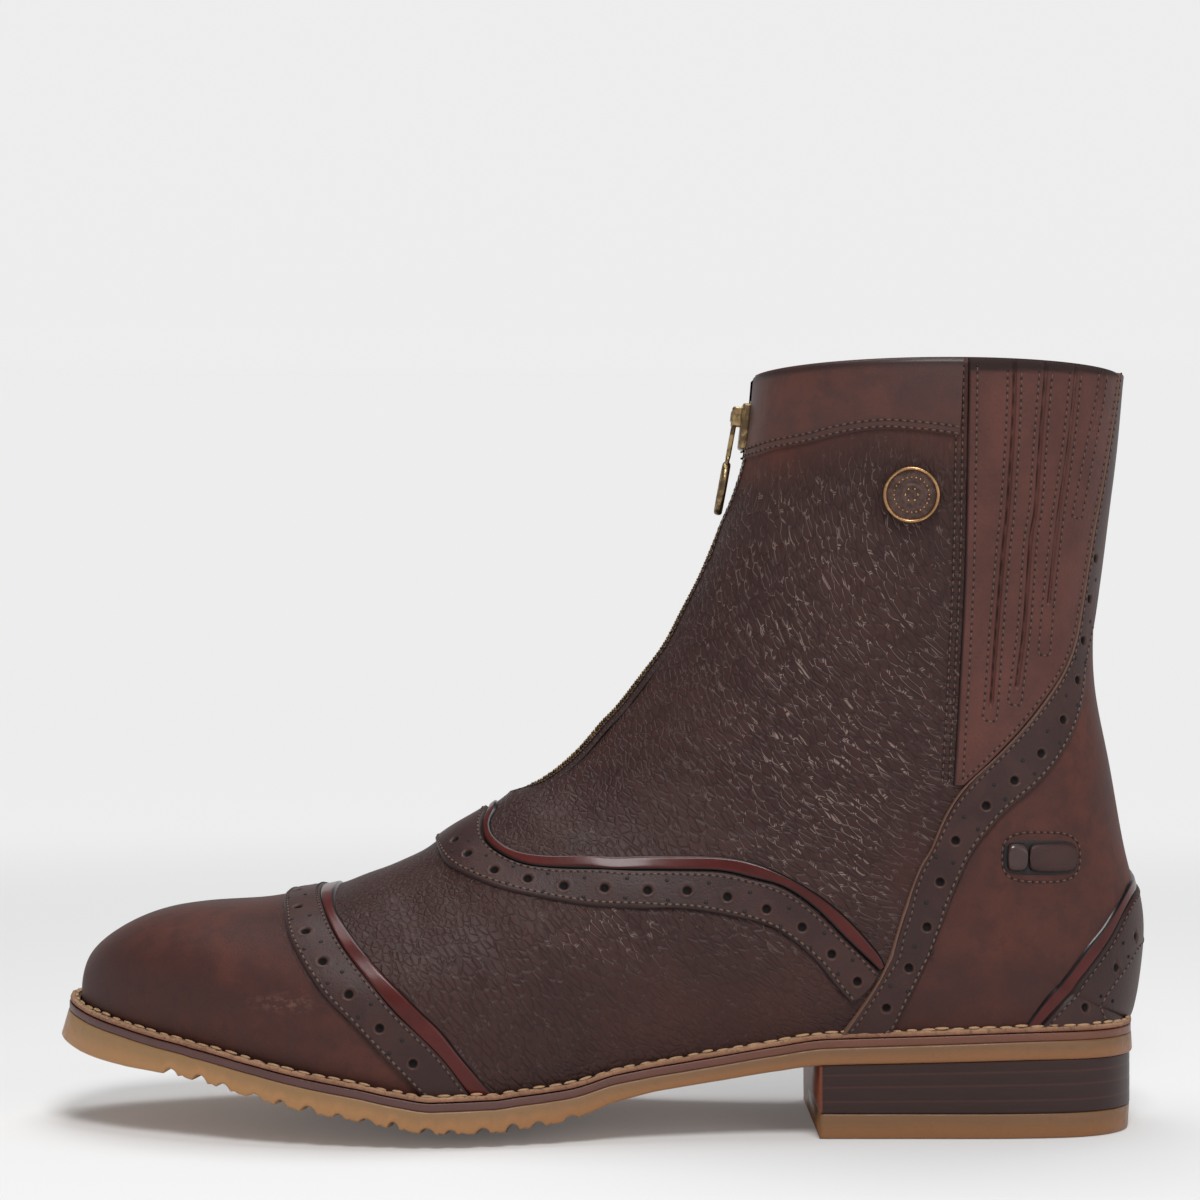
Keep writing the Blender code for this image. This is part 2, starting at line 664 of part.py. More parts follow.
def cutter_object(name, builder):
    """Hidden closed mesh that a Boolean reads."""
    bmesh.ops.recalc_face_normals(builder, faces=builder.faces)
    mesh = bpy.data.meshes.new(name)
    builder.to_mesh(mesh)
    builder.free()
    cutter = bpy.data.objects.new(name, mesh)
    bpy.context.scene.collection.objects.link(cutter)
    cutter.hide_render = True
    cutter.display_type = "WIRE"
    return cutter


def side_prism(name, points, side=0):
    """Cutter with an outline seen from the side; side -1 outer, 1 inner, 0 both."""
    near_y = SEAM_GAP if side > 0 else -BALL_WIDTH
    far_y = -SEAM_GAP if side < 0 else BALL_WIDTH
    builder = bmesh.new()
    near = [builder.verts.new((x, near_y, z)) for x, z in points]
    far = [builder.verts.new((x, far_y, z)) for x, z in points]
    count = len(points)
    builder.faces.new(near)
    builder.faces.new(list(reversed(far)))
    for k in range(count):
        after = (k + 1) % count
        builder.faces.new((near[after], near[k], far[k], far[after]))
    return cutter_object(name, builder)


def cut(item, cutter, operation):
    modifier = item.modifiers.new(operation.lower() + "_" + cutter.name, "BOOLEAN")
    modifier.operation = operation
    modifier.object = cutter
    modifier.solver = "EXACT"


def along_front(first, last, steps, half_at, deep, proud, past_end):
    """Bar that follows the upper's front line between two rows of the table.

    It reaches "deep" behind the line and "proud" before it, and runs past its
    upper end by past_end.
    """
    builder = bmesh.new()
    rings = []
    for k in range(steps + 1):
        t = first + (last - first) * k / steps
        place, up, outward = front_frame(t)
        if k == steps:
            place = place + up * past_end
        half = half_at(k / steps)
        ring = []
        for y, out in ((-half, proud), (half, proud), (half, -deep), (-half, -deep)):
            ring.append(builder.verts.new(place + outward * out + Vector((0.0, y, 0.0))))
        rings.append(ring)
    for a, b in zip(rings, rings[1:]):
        for j in range(4):
            after = (j + 1) % 4
            builder.faces.new((a[j], a[after], b[after], b[j]))
    builder.faces.new(rings[0])
    builder.faces.new(rings[-1])
    bmesh.ops.recalc_face_normals(builder, faces=builder.faces)
    return builder


def front_frame(t):
    """Point of the front line at a row, with its upward and outward directions."""
    last = len(SECTIONS) - 1
    place = section_frame(t)[0]
    up = section_frame(min(t + 0.1, last))[0] - section_frame(max(t - 0.1, 0.0))[0]
    up.y = 0.0
    up.normalize()
    outward = Vector((-up.z, 0.0, up.x))
    return place, up, outward


def slot_half(share):
    """Half width of the zip's slot; its lower end is rounded."""
    return ZIP_SLOT / 2 * min(1.0, 0.5 + 6.0 * share)


def slot_cutter(name, margin, deep):
    last = len(SECTIONS) - 1
    builder = along_front(
        THROAT_ROW - margin / ROW_LENGTH, last, 14,
        lambda share: slot_half(share) + margin, deep, deep, 0.02,
    )
    return cutter_object(name, builder)


def build_upper(material):
    item = new_object("upper", upper_shell(-WALL, 0.0), material)
    cut(item, slot_cutter("zip_slot", 0.0, 5 * WALL), "DIFFERENCE")
    return item


def side_point(point, shift=0.0):
    """Side-view place of an outline's point, moved towards the heel by shift."""
    share_x, share_z = point
    seat = bed(along(SECTIONS[HEEL_ROW][2]), 0.0)
    return along(share_x) + shift, seat + share_z * SHAFT_HEIGHT


def set_back(edge, other, gap):
    """An edge moved sideways by gap, towards the other edge of its piece."""
    line = [Vector(side_point(point)) for point in edge]
    goal = [Vector(side_point(point)) for point in other]
    normals = []
    for i in range(len(line)):
        tangent = line[min(i + 1, len(line) - 1)] - line[max(i - 1, 0)]
        normals.append(Vector((-tangent.y, tangent.x)).normalized())
    lean = sum((min(goal, key=lambda g: (g - p).length) - p).dot(n) for p, n in zip(line, normals))
    sign = 1 if lean > 0 else -1
    return [tuple(p + n * sign * gap) for p, n in zip(line, normals)]


def overlay(name, front, rear, thickness, material, side=0, cutters=(), slits=()):
    """Piece on the upper between two edges, cut out of a shell round it."""
    item = new_object(name, upper_shell(CLEARANCE, CLEARANCE + thickness), material)
    points = set_back(front, rear, EDGE_GAP)
    points += [side_point(point) for point in reversed(rear)]
    cut(item, side_prism(name + "_outline", points, side), "INTERSECT")
    for cutter in cutters:
        cut(item, cutter, "DIFFERENCE")
    for number, slit in enumerate(slits):
        half = GUSSET_SLIT / 2
        sides = [side_point(point, -half) for point in slit]
        sides += [side_point(point, half) for point in reversed(slit)]
        cut(item, side_prism(name + "_slit_%d" % number, sides, side), "DIFFERENCE")
    return item


def build_overlays(slot, brown, band, patent, elastic):
    zone = welt_zone()
    overlay("toe_band", TOE_FRONT, TOE_REAR, OVERLAY, band, 0, (zone,))
    overlay("toe_piping", TOE_REAR, TOE_PIPED, PIPING, patent, 0, (zone,))
    overlay("wing_band", WING_LOW, WING_HIGH, OVERLAY, band, 0, (slot,))
    overlay("heel_band", HEEL_HIGH, HEEL_LOW, OVERLAY, band, 0, (zone,))
    overlay("heel_piping", HEEL_PIPED, HEEL_HIGH, PIPING, patent, 0, (zone,))
    for side, place in ((-1, "outer"), (1, "inner")):
        overlay("wing_piping_" + place, WING_HIGH, WING_PIPED, PIPING, patent, side, (slot,))
        overlay("back_band_" + place, BACK_FRONT, BACK_REAR, OVERLAY, band, side, (zone,))
        overlay("gusset_" + place, GUSSET_FRONT, BACK_FRONT[GUSSET_FOOT:], GUSSET, elastic, side, (), SLITS)
        overlay("collar_band_" + place, COLLAR_FRONT, GUSSET_SEAM, COLLAR, brown, side, (slot,))
        overlay("spur_rest_" + place, SPUR_FRONT, SPUR_REAR, SPUR_REST, brown, side)


def build_zip(tape_material, brass):
    """Tape, teeth and slider in the slot, and the pull on its own axis."""
    last = len(SECTIONS) - 1
    tape = new_object("zip_tape", upper_shell(-(WALL + CLEARANCE + ZIP_TAPE), -(WALL + CLEARANCE)), tape_material)
    cut(tape, slot_cutter("tape_outline", ZIP_TAPE_MARGIN, 7 * WALL), "INTERSECT")
    teeth_end = last - TEETH_END
    teeth = along_front(
        THROAT_ROW + TEETH_START, teeth_end, 20, lambda share: ZIP_TEETH / 2,
        WALL, TEETH_PROUD, 0.0,
    )
    new_object("zip_teeth", teeth, brass)
    place, up, outward = front_frame(SLIDER_ROW)
    turn = math.atan2(up.x, up.z)
    base = TEETH_PROUD + SLIDER_LIFT
    slider = bmesh.new()
    add_box(slider, (0.0, 0.0, base + SLIDER_PLATE / 2), (SLIDER_LENGTH, SLIDER_WIDTH, SLIDER_PLATE))
    slider_item = new_object("zip_slider", slider, brass)
    slider_item.matrix_world = local_frame(place, up, outward)
    lug_high = SLIDER_PLATE + 2 * LUG_PIN
    for side in (-1, 1):
        lug = bmesh.new()
        across = side * (PULL_NECK / 2 + CLEARANCE + SLIDER_LUG / 2)
        add_box(
            lug, (SLIDER_LENGTH * 0.2, across, base + lug_high / 2),
            (SLIDER_LENGTH * 0.42, SLIDER_LUG, lug_high),
        )
        lug_cutter = cutter_object("slider_lug_%s" % ("outer" if side < 0 else "inner"), lug)
        lug_cutter.matrix_world = local_frame(place, up, outward)
        cut(slider_item, lug_cutter, "UNION")
    pivot = place + up * SLIDER_LENGTH * 0.2 + outward * (base + SLIDER_PLATE + CLEARANCE + LUG_PIN)
    tip_place, tip_up, tip_outward = front_frame(PULL_TIP_ROW)
    tip = tip_place + tip_outward * (TEETH_PROUD + CLEARANCE + PULL_THICKNESS / 2)
    hang = (tip - pivot).normalized()
    build_pull(pivot, hang, brass)


def local_frame(place, up, outward):
    """Frame whose axes are up the zip, across it and out of it."""
    across = outward.cross(up)
    return Matrix((
        (up.x, across.x, outward.x, place.x),
        (up.y, across.y, outward.y, place.y),
        (up.z, across.z, outward.z, place.z),
        (0.0, 0.0, 0.0, 1.0),
    ))


def add_box(builder, centre, size):
    made = bmesh.ops.create_cube(builder, size=1.0)["verts"]
    bmesh.ops.scale(builder, vec=Vector(size), verts=made)
    bmesh.ops.translate(builder, vec=Vector(centre), verts=made)


def build_pull(pivot, hang, brass):
    """Pull tab: a neck from the axis and a wide plate, tip down at rest."""
    axis = bpy.data.objects.new("pull_axis", None)
    bpy.context.scene.collection.objects.link(axis)
    axis.location = pivot
    angle = math.atan2(-hang.x, -hang.z)
    axis.rotation_euler = (0.0, angle, 0.0)
    half_neck = PULL_NECK / 2
    half_wide = PULL_WIDTH / 2
    shoulder = -0.46 * PULL_LENGTH
    outline_points = (
        (-half_neck, LUG_PIN * 0.8), (-half_neck, shoulder), (-half_wide, shoulder - half_neck),
        (-half_wide, -PULL_LENGTH + half_neck), (-half_neck, -PULL_LENGTH),
        (half_neck, -PULL_LENGTH), (half_wide, -PULL_LENGTH + half_neck),
        (half_wide, shoulder - half_neck), (half_neck, shoulder), (half_neck, LUG_PIN * 0.8),
    )
    builder = bmesh.new()
    thick = PULL_THICKNESS / 2
    near = [builder.verts.new((-thick, y, z)) for y, z in outline_points]
    far = [builder.verts.new((thick, y, z)) for y, z in outline_points]
    builder.faces.new(near)
    builder.faces.new(list(reversed(far)))
    count = len(outline_points)
    for k in range(count):
        after = (k + 1) % count
        builder.faces.new((near[after], near[k], far[k], far[after]))
    bmesh.ops.recalc_face_normals(builder, faces=builder.faces)
    pull = new_object("zip_pull", builder, brass)
    pull.parent = axis


def build_button(material):
    """Domed stud on the outer side of the shaft."""
    centre_x, centre_z = side_point(BUTTON)
    surface = None
    best = 1.0
    for i in range(60):
        for j in range(60):
            t = 20 + 5 * i / 59
            a = -0.2 - 0.6 * j / 59
            point = upper_point(t, a)
            away = (point.x - centre_x) ** 2 + (point.z - centre_z) ** 2
            if away < best:
                best = away
                surface = (t, a)
    t, a = surface
    here = upper_point(t, a)
    along_a = upper_point(t, a + 0.02) - upper_point(t, a - 0.02)
    along_t = upper_point(t + 0.2, a) - upper_point(t - 0.2, a)
    outward = along_a.cross(along_t).normalized()
    if outward.y > 0:
        outward.negate()
    builder = bmesh.new()
    bmesh.ops.create_cone(
        builder, cap_ends=True, segments=28,
        radius1=BUTTON_RADIUS, radius2=BUTTON_RADIUS * 0.86, depth=BUTTON_THICKNESS,
    )
    item = new_object("button", builder, material)
    item.location = here + outward * BUTTON_THICKNESS / 2
    item.rotation_euler = outward.to_track_quat("Z", "Y").to_euler()


def clear_scene():
    for item in list(bpy.data.objects):
        bpy.data.objects.remove(item, do_unlink=True)


def main():
    clear_scene()
    gum = finish_material("gum_rubber", (0.42, 0.25, 0.10), 0.55)
    welt_leather = finish_material("welt_leather", (0.30, 0.15, 0.07), 0.6)
    heel_leather = finish_material("heel_leather", (0.035, 0.018, 0.014), 0.45)
    board = finish_material("insole_board", (0.36, 0.24, 0.14), 0.8)
    brown = finish_material("brown_leather", (0.085, 0.035, 0.026), 0.5)
    band = finish_material("band_leather", (0.050, 0.025, 0.022), 0.5)
    patent = finish_material("patent_leather", (0.090, 0.018, 0.014), 0.15)
    elastic = finish_material("gusset_leather", (0.070, 0.030, 0.024), 0.55)
    cloth = finish_material("zip_cloth", (0.030, 0.020, 0.018), 0.9)
    brass = finish_material("antique_brass", (0.36, 0.25, 0.12), 0.38, 1.0)
    copper = finish_material("button_bronze", (0.30, 0.16, 0.09), 0.35, 1.0)
    build_outsole(gum)
    build_midsole(welt_leather)
    build_welt(welt_leather)
    build_insole(board)
    build_heel(heel_leather, gum)
    build_upper(brown)
    slot = slot_cutter("overlay_slot", CLEARANCE, 5 * WALL)
    build_overlays(slot, brown, band, patent, elastic)
    build_zip(cloth, brass)
    build_button(copper)


main()
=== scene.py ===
import math
import random

import bmesh
import bpy
from mathutils import Matrix, Vector
from mathutils.bvhtree import BVHTree
from mathutils.interpolate import poly_3d_calc
from mathutils.kdtree import KDTree


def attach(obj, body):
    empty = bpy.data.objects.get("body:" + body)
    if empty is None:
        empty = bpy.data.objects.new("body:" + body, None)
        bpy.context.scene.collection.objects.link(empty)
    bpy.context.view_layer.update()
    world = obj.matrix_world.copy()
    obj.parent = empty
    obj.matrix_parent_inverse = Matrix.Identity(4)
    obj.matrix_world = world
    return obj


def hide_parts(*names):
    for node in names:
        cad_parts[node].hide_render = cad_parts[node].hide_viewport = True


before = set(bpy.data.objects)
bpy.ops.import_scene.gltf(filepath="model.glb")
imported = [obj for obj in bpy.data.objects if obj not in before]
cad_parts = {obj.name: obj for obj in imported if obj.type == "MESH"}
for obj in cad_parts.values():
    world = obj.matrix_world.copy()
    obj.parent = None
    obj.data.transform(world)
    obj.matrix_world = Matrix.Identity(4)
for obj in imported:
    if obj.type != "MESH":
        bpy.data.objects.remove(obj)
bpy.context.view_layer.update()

random.seed(7)

# Camera of the photograph, level and square to the boot
PHOTO_MIDDLE = 600
PHOTO_WIDTH = 1200
FOCAL_PX = 2980.0
SENSOR = 36.0
CAMERA_AT = Vector((0.0, -0.745, 0.1294))

# Sizes of the boot, as in its CAD source
LENGTH = 0.2695
BALL_WIDTH = 0.086
SHAFT_HEIGHT = 0.162
COLLAR_HUMP = 0.003
WALL = 0.002
CLEARANCE = 0.0003
TOE_SPRING = 0.0224
CROWN = 0.0036
HEEL_BLOCK = 0.0111
TOP_LIFT = 0.0060
GUM = 0.0056
LUG_DEPTH = 0.0020
LUG_PITCH = 0.0068
MIDSOLE = 0.0017
INSOLE = 0.0025
WELT_MARGIN = 0.0034
HEEL_BREAST = 0.0787
TREAD_SLOPE = 0.0028
ZIP_SLOT = 0.0110
HALF_LENGTH = LENGTH / 2
HALF_BALL = BALL_WIDTH / 2
HEEL_RISE = TOP_LIFT + CLEARANCE + HEEL_BLOCK + CLEARANCE
SOLE_STACK = CLEARANCE + MIDSOLE + CLEARANCE
FLAT_TREAD = 0.50
HEEL_ROW = 16
THROAT_ROW = 11.5
SLIDER_ROW = 24.35
PULL_AXIS = Vector((0.033847, 0.0, 0.175189))
PULL_TIP_ROW = 22.4

SECTION_COLUMNS = (
    "front_x", "front_z", "back_x", "back_z",
    "outer", "inner", "base_outer", "base_inner",
    "wide", "crest", "keel", "swing",
)
SECTIONS = (
    (0.981, 0.000, 0.981, 0.000, 0.000, 0.000, 0.000, 0.000, 0.40, 2.2, 2.2, 0.090),
    (0.978, 0.050, 0.977, 0.000, 0.200, 0.200, 0.186, 0.186, 0.40, 2.3, 2.2, 0.088),
    (0.969, 0.090, 0.964, 0.000, 0.350, 0.350, 0.325, 0.325, 0.40, 2.4, 2.2, 0.080),
    (0.947, 0.130, 0.938, 0.000, 0.510, 0.505, 0.475, 0.470, 0.40, 2.4, 2.3, 0.066),
    (0.912, 0.171, 0.897, 0.000, 0.665, 0.665, 0.620, 0.615, 0.39, 2.4, 2.3, 0.044),
    (0.864, 0.204, 0.841, 0.000, 0.815, 0.820, 0.760, 0.765, 0.37, 2.4, 2.4, 0.022),
    (0.812, 0.234, 0.775, 0.000, 0.930, 0.925, 0.880, 0.870, 0.35, 2.4, 2.4, 0.008),
    (0.767, 0.271, 0.700, 0.000, 1.000, 1.000, 0.950, 0.948, 0.33, 2.3, 2.4, 0.000),
    (0.723, 0.306, 0.630, 0.000, 0.990, 0.950, 0.945, 0.885, 0.32, 2.2, 2.4, 0.000),
    (0.678, 0.328, 0.559, 0.000, 0.930, 0.890, 0.860, 0.810, 0.32, 2.1, 2.3, 0.000),
    (0.637, 0.342, 0.470, 0.000, 0.850, 0.810, 0.735, 0.690, 0.32, 2.1, 2.2, 0.000),
    (0.598, 0.353, 0.366, 0.000, 0.790, 0.755, 0.665, 0.625, 0.31, 2.1, 2.2, 0.000),
    (0.570, 0.360, 0.240, 0.000, 0.755, 0.735, 0.662, 0.640, 0.30, 2.1, 2.2, 0.000),
    (0.545, 0.378, 0.129, 0.000, 0.735, 0.725, 0.660, 0.650, 0.30, 2.1, 2.2, 0.000),
    (0.524, 0.407, 0.062, 0.000, 0.730, 0.725, 0.585, 0.580, 0.30, 2.1, 2.2, 0.000),
    (0.511, 0.431, 0.026, 0.000, 0.725, 0.725, 0.370, 0.370, 0.30, 2.1, 2.2, 0.000),
    (0.500, 0.453, 0.014, 0.000, 0.720, 0.720, 0.000, 0.000, 0.30, 2.1, 2.3, 0.000),
    (0.485, 0.479, 0.005, 0.069, 0.720, 0.720, 0.000, 0.000, 0.31, 2.1, 2.3, 0.000),
    (0.465, 0.522, 0.002, 0.160, 0.715, 0.715, 0.000, 0.000, 0.33, 2.1, 2.3, 0.000),
    (0.443, 0.571, 0.016, 0.262, 0.705, 0.705, 0.000, 0.000, 0.36, 2.1, 2.2, 0.000),
    (0.426, 0.624, 0.029, 0.386, 0.695, 0.695, 0.000, 0.000, 0.39, 2.1, 2.2, 0.000),
    (0.409, 0.679, 0.043, 0.509, 0.695, 0.695, 0.000, 0.000, 0.42, 2.1, 2.2, 0.000),
    (0.394, 0.738, 0.043, 0.624, 0.710, 0.710, 0.000, 0.000, 0.44, 2.1, 2.2, 0.000),
    (0.379, 0.796, 0.034, 0.759, 0.730, 0.730, 0.000, 0.000, 0.45, 2.1, 2.2, 0.000),
    (0.366, 0.870, 0.026, 0.866, 0.750, 0.750, 0.000, 0.000, 0.46, 2.1, 2.2, 0.000),
    (0.359, 0.981, 0.020, 0.979, 0.765, 0.765, 0.000, 0.000, 0.47, 2.1, 2.2, 0.000),
)
LAST_ROW = len(SECTIONS) - 1
SOLE_COLUMNS = ("x", "heel", "toe", "gum", "crown")
SOLE_LINE = (
    (0.000, 1.060, 0.000, 0.84, 0.00),
    (0.110, 1.070, 0.000, 0.80, 0.00),
    (0.210, 1.035, 0.000, 0.76, 0.00),
    (0.304, 1.000, 0.000, 0.72, 0.00),
    (0.337, 0.915, 0.000, 0.68, 0.09),
    (0.394, 0.745, 0.000, 0.66, 0.28),
    (0.452, 0.580, 0.000, 0.66, 0.46),
    (0.490, 0.400, 0.000, 0.78, 0.66),
    (0.520, 0.205, 0.000, 0.92, 0.75),
    (0.547, 0.105, 0.000, 1.00, 0.84),
    (0.571, 0.045, 0.000, 1.02, 0.93),
    (0.592, 0.000, 0.000, 1.00, 1.00),
    (0.620, 0.000, 0.000, 0.98, 1.00),
    (0.648, 0.000, 0.000, 0.95, 1.00),
    (0.672, 0.000, 0.050, 0.92, 1.00),
    (0.711, 0.000, 0.145, 0.97, 0.92),
    (0.760, 0.000, 0.255, 1.00, 0.81),
    (0.804, 0.000, 0.395, 0.98, 0.67),
    (0.863, 0.000, 0.590, 0.94, 0.45),
    (0.897, 0.000, 0.662, 1.04, 0.32),
    (0.927, 0.000, 0.715, 1.20, 0.20),
    (0.966, 0.000, 0.820, 1.28, 0.06),
    (1.000, 0.000, 1.000, 1.20, 0.00),
)

# Lines of the photo, in its pixels, from the crest or the collar downwards
TOE_FRONT = (
    (283, 896), (287, 933), (296, 954), (305, 970), (323, 996),
    (343, 1016), (363, 1036), (386, 1061), (403, 1077), (416, 1091),
)
TOE_REAR = (
    (324, 878), (321, 893), (325, 911), (335, 935), (350, 958),
    (373, 986), (396, 1013), (421, 1036), (446, 1062), (469, 1093),
)
TOE_PIPED = (
    (345, 877), (336, 893), (337, 910), (346, 926), (363, 950), (383, 973),
    (399, 989), (421, 1011), (442, 1031), (462, 1057), (491, 1091),
)
TOE_HOLES = ((298, 894), (299, 910), (306, 934), (323, 963), (349, 995), (380, 1028), (413, 1063))
WING_LOW = (
    (433, 835), (445, 863), (464, 875), (496, 888), (528, 896), (559, 902), (591, 907),
    (639, 910), (671, 909), (703, 912), (735, 918), (767, 926), (789, 939), (814, 961),
    (837, 989), (850, 1003),
)
WING_HIGH = (
    (497, 800), (484, 818), (484, 840), (502, 856), (528, 866), (559, 869), (591, 870), (623, 871),
    (671, 871), (719, 872), (751, 879), (783, 888), (814, 909), (846, 941), (878, 971),
)
WING_PIPED = (
    (499, 804), (491, 823), (496, 837), (515, 850), (543, 855), (591, 856), (623, 856), (655, 855),
    (719, 856), (757, 863), (789, 877), (824, 898), (853, 923), (878, 952), (885, 965),
)
WING_HOLES = (
    (457, 842), (469, 856), (495, 872), (528, 880), (564, 887), (605, 889), (647, 891),
    (687, 891), (727, 897), (766, 909), (802, 927), (831, 954), (857, 981),
)
BACK_FRONT = (
    (1116, 375), (1110, 420), (1100, 480), (1089, 540), (1084, 573), (1079, 606), (1073, 640),
    (1063, 669), (1046, 697), (1023, 727), (996, 756), (965, 785), (945, 815), (930, 850),
    (920, 866), (904, 907), (891, 949), (879, 978), (859, 1009), (840, 1034),
)
BACK_REAR = (
    (1083, 663), (1083, 681), (1078, 714), (1068, 741), (1054, 765), (1038, 784), (1023, 797),
    (1005, 812), (985, 835), (971, 856), (958, 885), (942, 923), (923, 971), (904, 1009), (893, 1032),
)
BACK_HOLES = (
    (1092, 558), (1086, 599), (1080, 640), (1075, 681), (1061, 720), (1040, 753), (1014, 780),
    (985, 805), (955, 840), (940, 881), (925, 926), (907, 966), (886, 1007),
)
GUSSET_FRONT = ((968, 352), (967, 420), (966, 480), (965, 540), (963, 600), (958, 700), (953, 785))
SLITS = (
    ((1014, 354), (1012, 424), (1006, 515), (1003, 540), (996, 623), (990, 706)),
    ((1045, 364), (1039, 438), (1034, 508), (1029, 540), (1023, 623), (1015, 689)),
    ((1074, 368), (1067, 438), (1057, 508), (1053, 540), (1046, 606)),
    ((1100, 378), (1096, 405), (1091, 431)),
)
SLIT_ENDS = ((988, 722), (1013, 706), (1042, 656), (1074, 518))
COLLAR_SEAM = (
    (752, 458), (773, 451), (808, 444), (843, 435), (878, 430), (895, 430), (931, 433), (959, 437),
)
HEEL_PIPED = (
    (1130, 878), (1116, 904), (1103, 926), (1086, 947), (1066, 974), (1046, 996), (1024, 1026),
)
HEEL_HIGH = ((1134, 890), (1124, 909), (1111, 936), (1096, 959), (1079, 981), (1060, 1004), (1038, 1028))
HEEL_LOW = ((1137, 946), (1126, 967), (1113, 986), (1094, 1013))
HEEL_HOLES = ((1132, 936), (1113, 967), (1083, 1007))
BUTTON_AT = (911.5, 494.7)
SPUR_MIDDLE = (1041, 857)


def along(share):
    return HALF_LENGTH - share * LENGTH


def share_at(x):
    return (HALF_LENGTH - x) / LENGTH


def spline(values, t):
    """Catmull-Rom value at t, in rows, of a list with a row at each integer."""
    last = len(values) - 1
    t = min(max(t, 0.0), last)
    i = min(int(t), last - 1)
    f = t - i
    start = values[i]
    end = values[i + 1]
    slope_start = (end - values[i - 1]) / 2 if i > 0 else end - start
    slope_end = (values[i + 2] - start) / 2 if i + 1 < last else end - start
    square = f * f
    cube = square * f
    return (
        (2 * cube - 3 * square + 1) * start + (cube - 2 * square + f) * slope_start
        + (3 * square - 2 * cube) * end + (cube - square) * slope_end
    )


SECTION_LISTS = {name: [row[i] for row in SECTIONS] for i, name in enumerate(SECTION_COLUMNS)}
SOLE_LISTS = {name: [row[i] for row in SOLE_LINE] for i, name in enumerate(SOLE_COLUMNS)}


def clamped(value):
    return min(max(value, 0.0), 1.0)


def row_value(column, t):
    return spline(SECTION_LISTS[column], t)


def sole_value(column, x):
    share = clamped(share_at(x))
    i = 0
    while i < len(SOLE_LINE) - 2 and SOLE_LINE[i + 1][0] < share:
        i += 1
    f = (share - SOLE_LINE[i][0]) / (SOLE_LINE[i + 1][0] - SOLE_LINE[i][0])
    return spline(SOLE_LISTS[column], i + f)


def base_edge(t, side):
    column = "base_inner" if side > 0 else "base_outer"
    x = along(row_value("back_x", t))
    y = (row_value("swing", t) + side * max(row_value(column, t), 0.0)) * HALF_BALL
    return Vector((x, y))


def welt_reach(x):
    """How far the welt stands out beyond the upper's base."""
    share = share_at(x)
    if share < 0.40:
        factor = 0.45 + 0.15 * share / 0.40
    elif share < 0.62:
        factor = 0.60 + 0.40 * (share - 0.40) / 0.22
    else:
        factor = 1.0 - 0.30 * min(max(share - 0.85, 0.0) / 0.10, 1.0)
    return WELT_MARGIN * factor


def edge_frame(t, side):
    """Point of the base's outline and its outward normal."""
    step = 0.02
    here = base_edge(t, side)
    tangent = base_edge(min(t + step, HEEL_ROW), side) - base_edge(max(t - step, 0.0), side)
    if t <= 0:
        tangent = Vector((0.0, side))
    if t >= HEEL_ROW:
        tangent = Vector((0.0, -side))
    tangent.normalize()
    return here, Vector((-tangent.y, tangent.x)) * side


def half_outline(side, count=180):
    points = []
    for k in range(count + 1):
        here, normal = edge_frame(HEEL_ROW * k / count, side)
        points.append(here + normal * welt_reach(here.x))
    return points


REACH = {side: half_outline(side) for side in (-1, 1)}


def reach_edge(x, side):
    points = REACH[side]
    low = 0
    high = len(points) - 1
    if x <= points[0].x:
        return points[0].y
    if x >= points[-1].x:
        return points[-1].y
    while high - low > 1:
        middle = (low + high) // 2
        if points[middle].x <= x:
            low = middle
        else:
            high = middle
    a = points[low]
    b = points[high]
    return a.y + (b.y - a.y) * (x - a.x) / (b.x - a.x) if b.x > a.x else a.y


def tread(x, y):
    """Height of the outsole's lowest surface."""
    line = HEEL_RISE * sole_value("heel", x) + TOE_SPRING * sole_value("toe", x)
    outer = reach_edge(x, -1)
    inner = reach_edge(x, 1)
    half = max((inner - outer) / 2, 0.001)
    share = abs(y - (outer + inner) / 2) / half
    beyond = max(share - FLAT_TREAD, 0.0) / (1 - FLAT_TREAD)
    return max(line, 0.0) + CROWN * sole_value("crown", x) * beyond


def gum_top(x, y):
    return tread(x, y) + GUM * sole_value("gum", x)


def bed(x, y):
    return gum_top(x, y) + SOLE_STACK


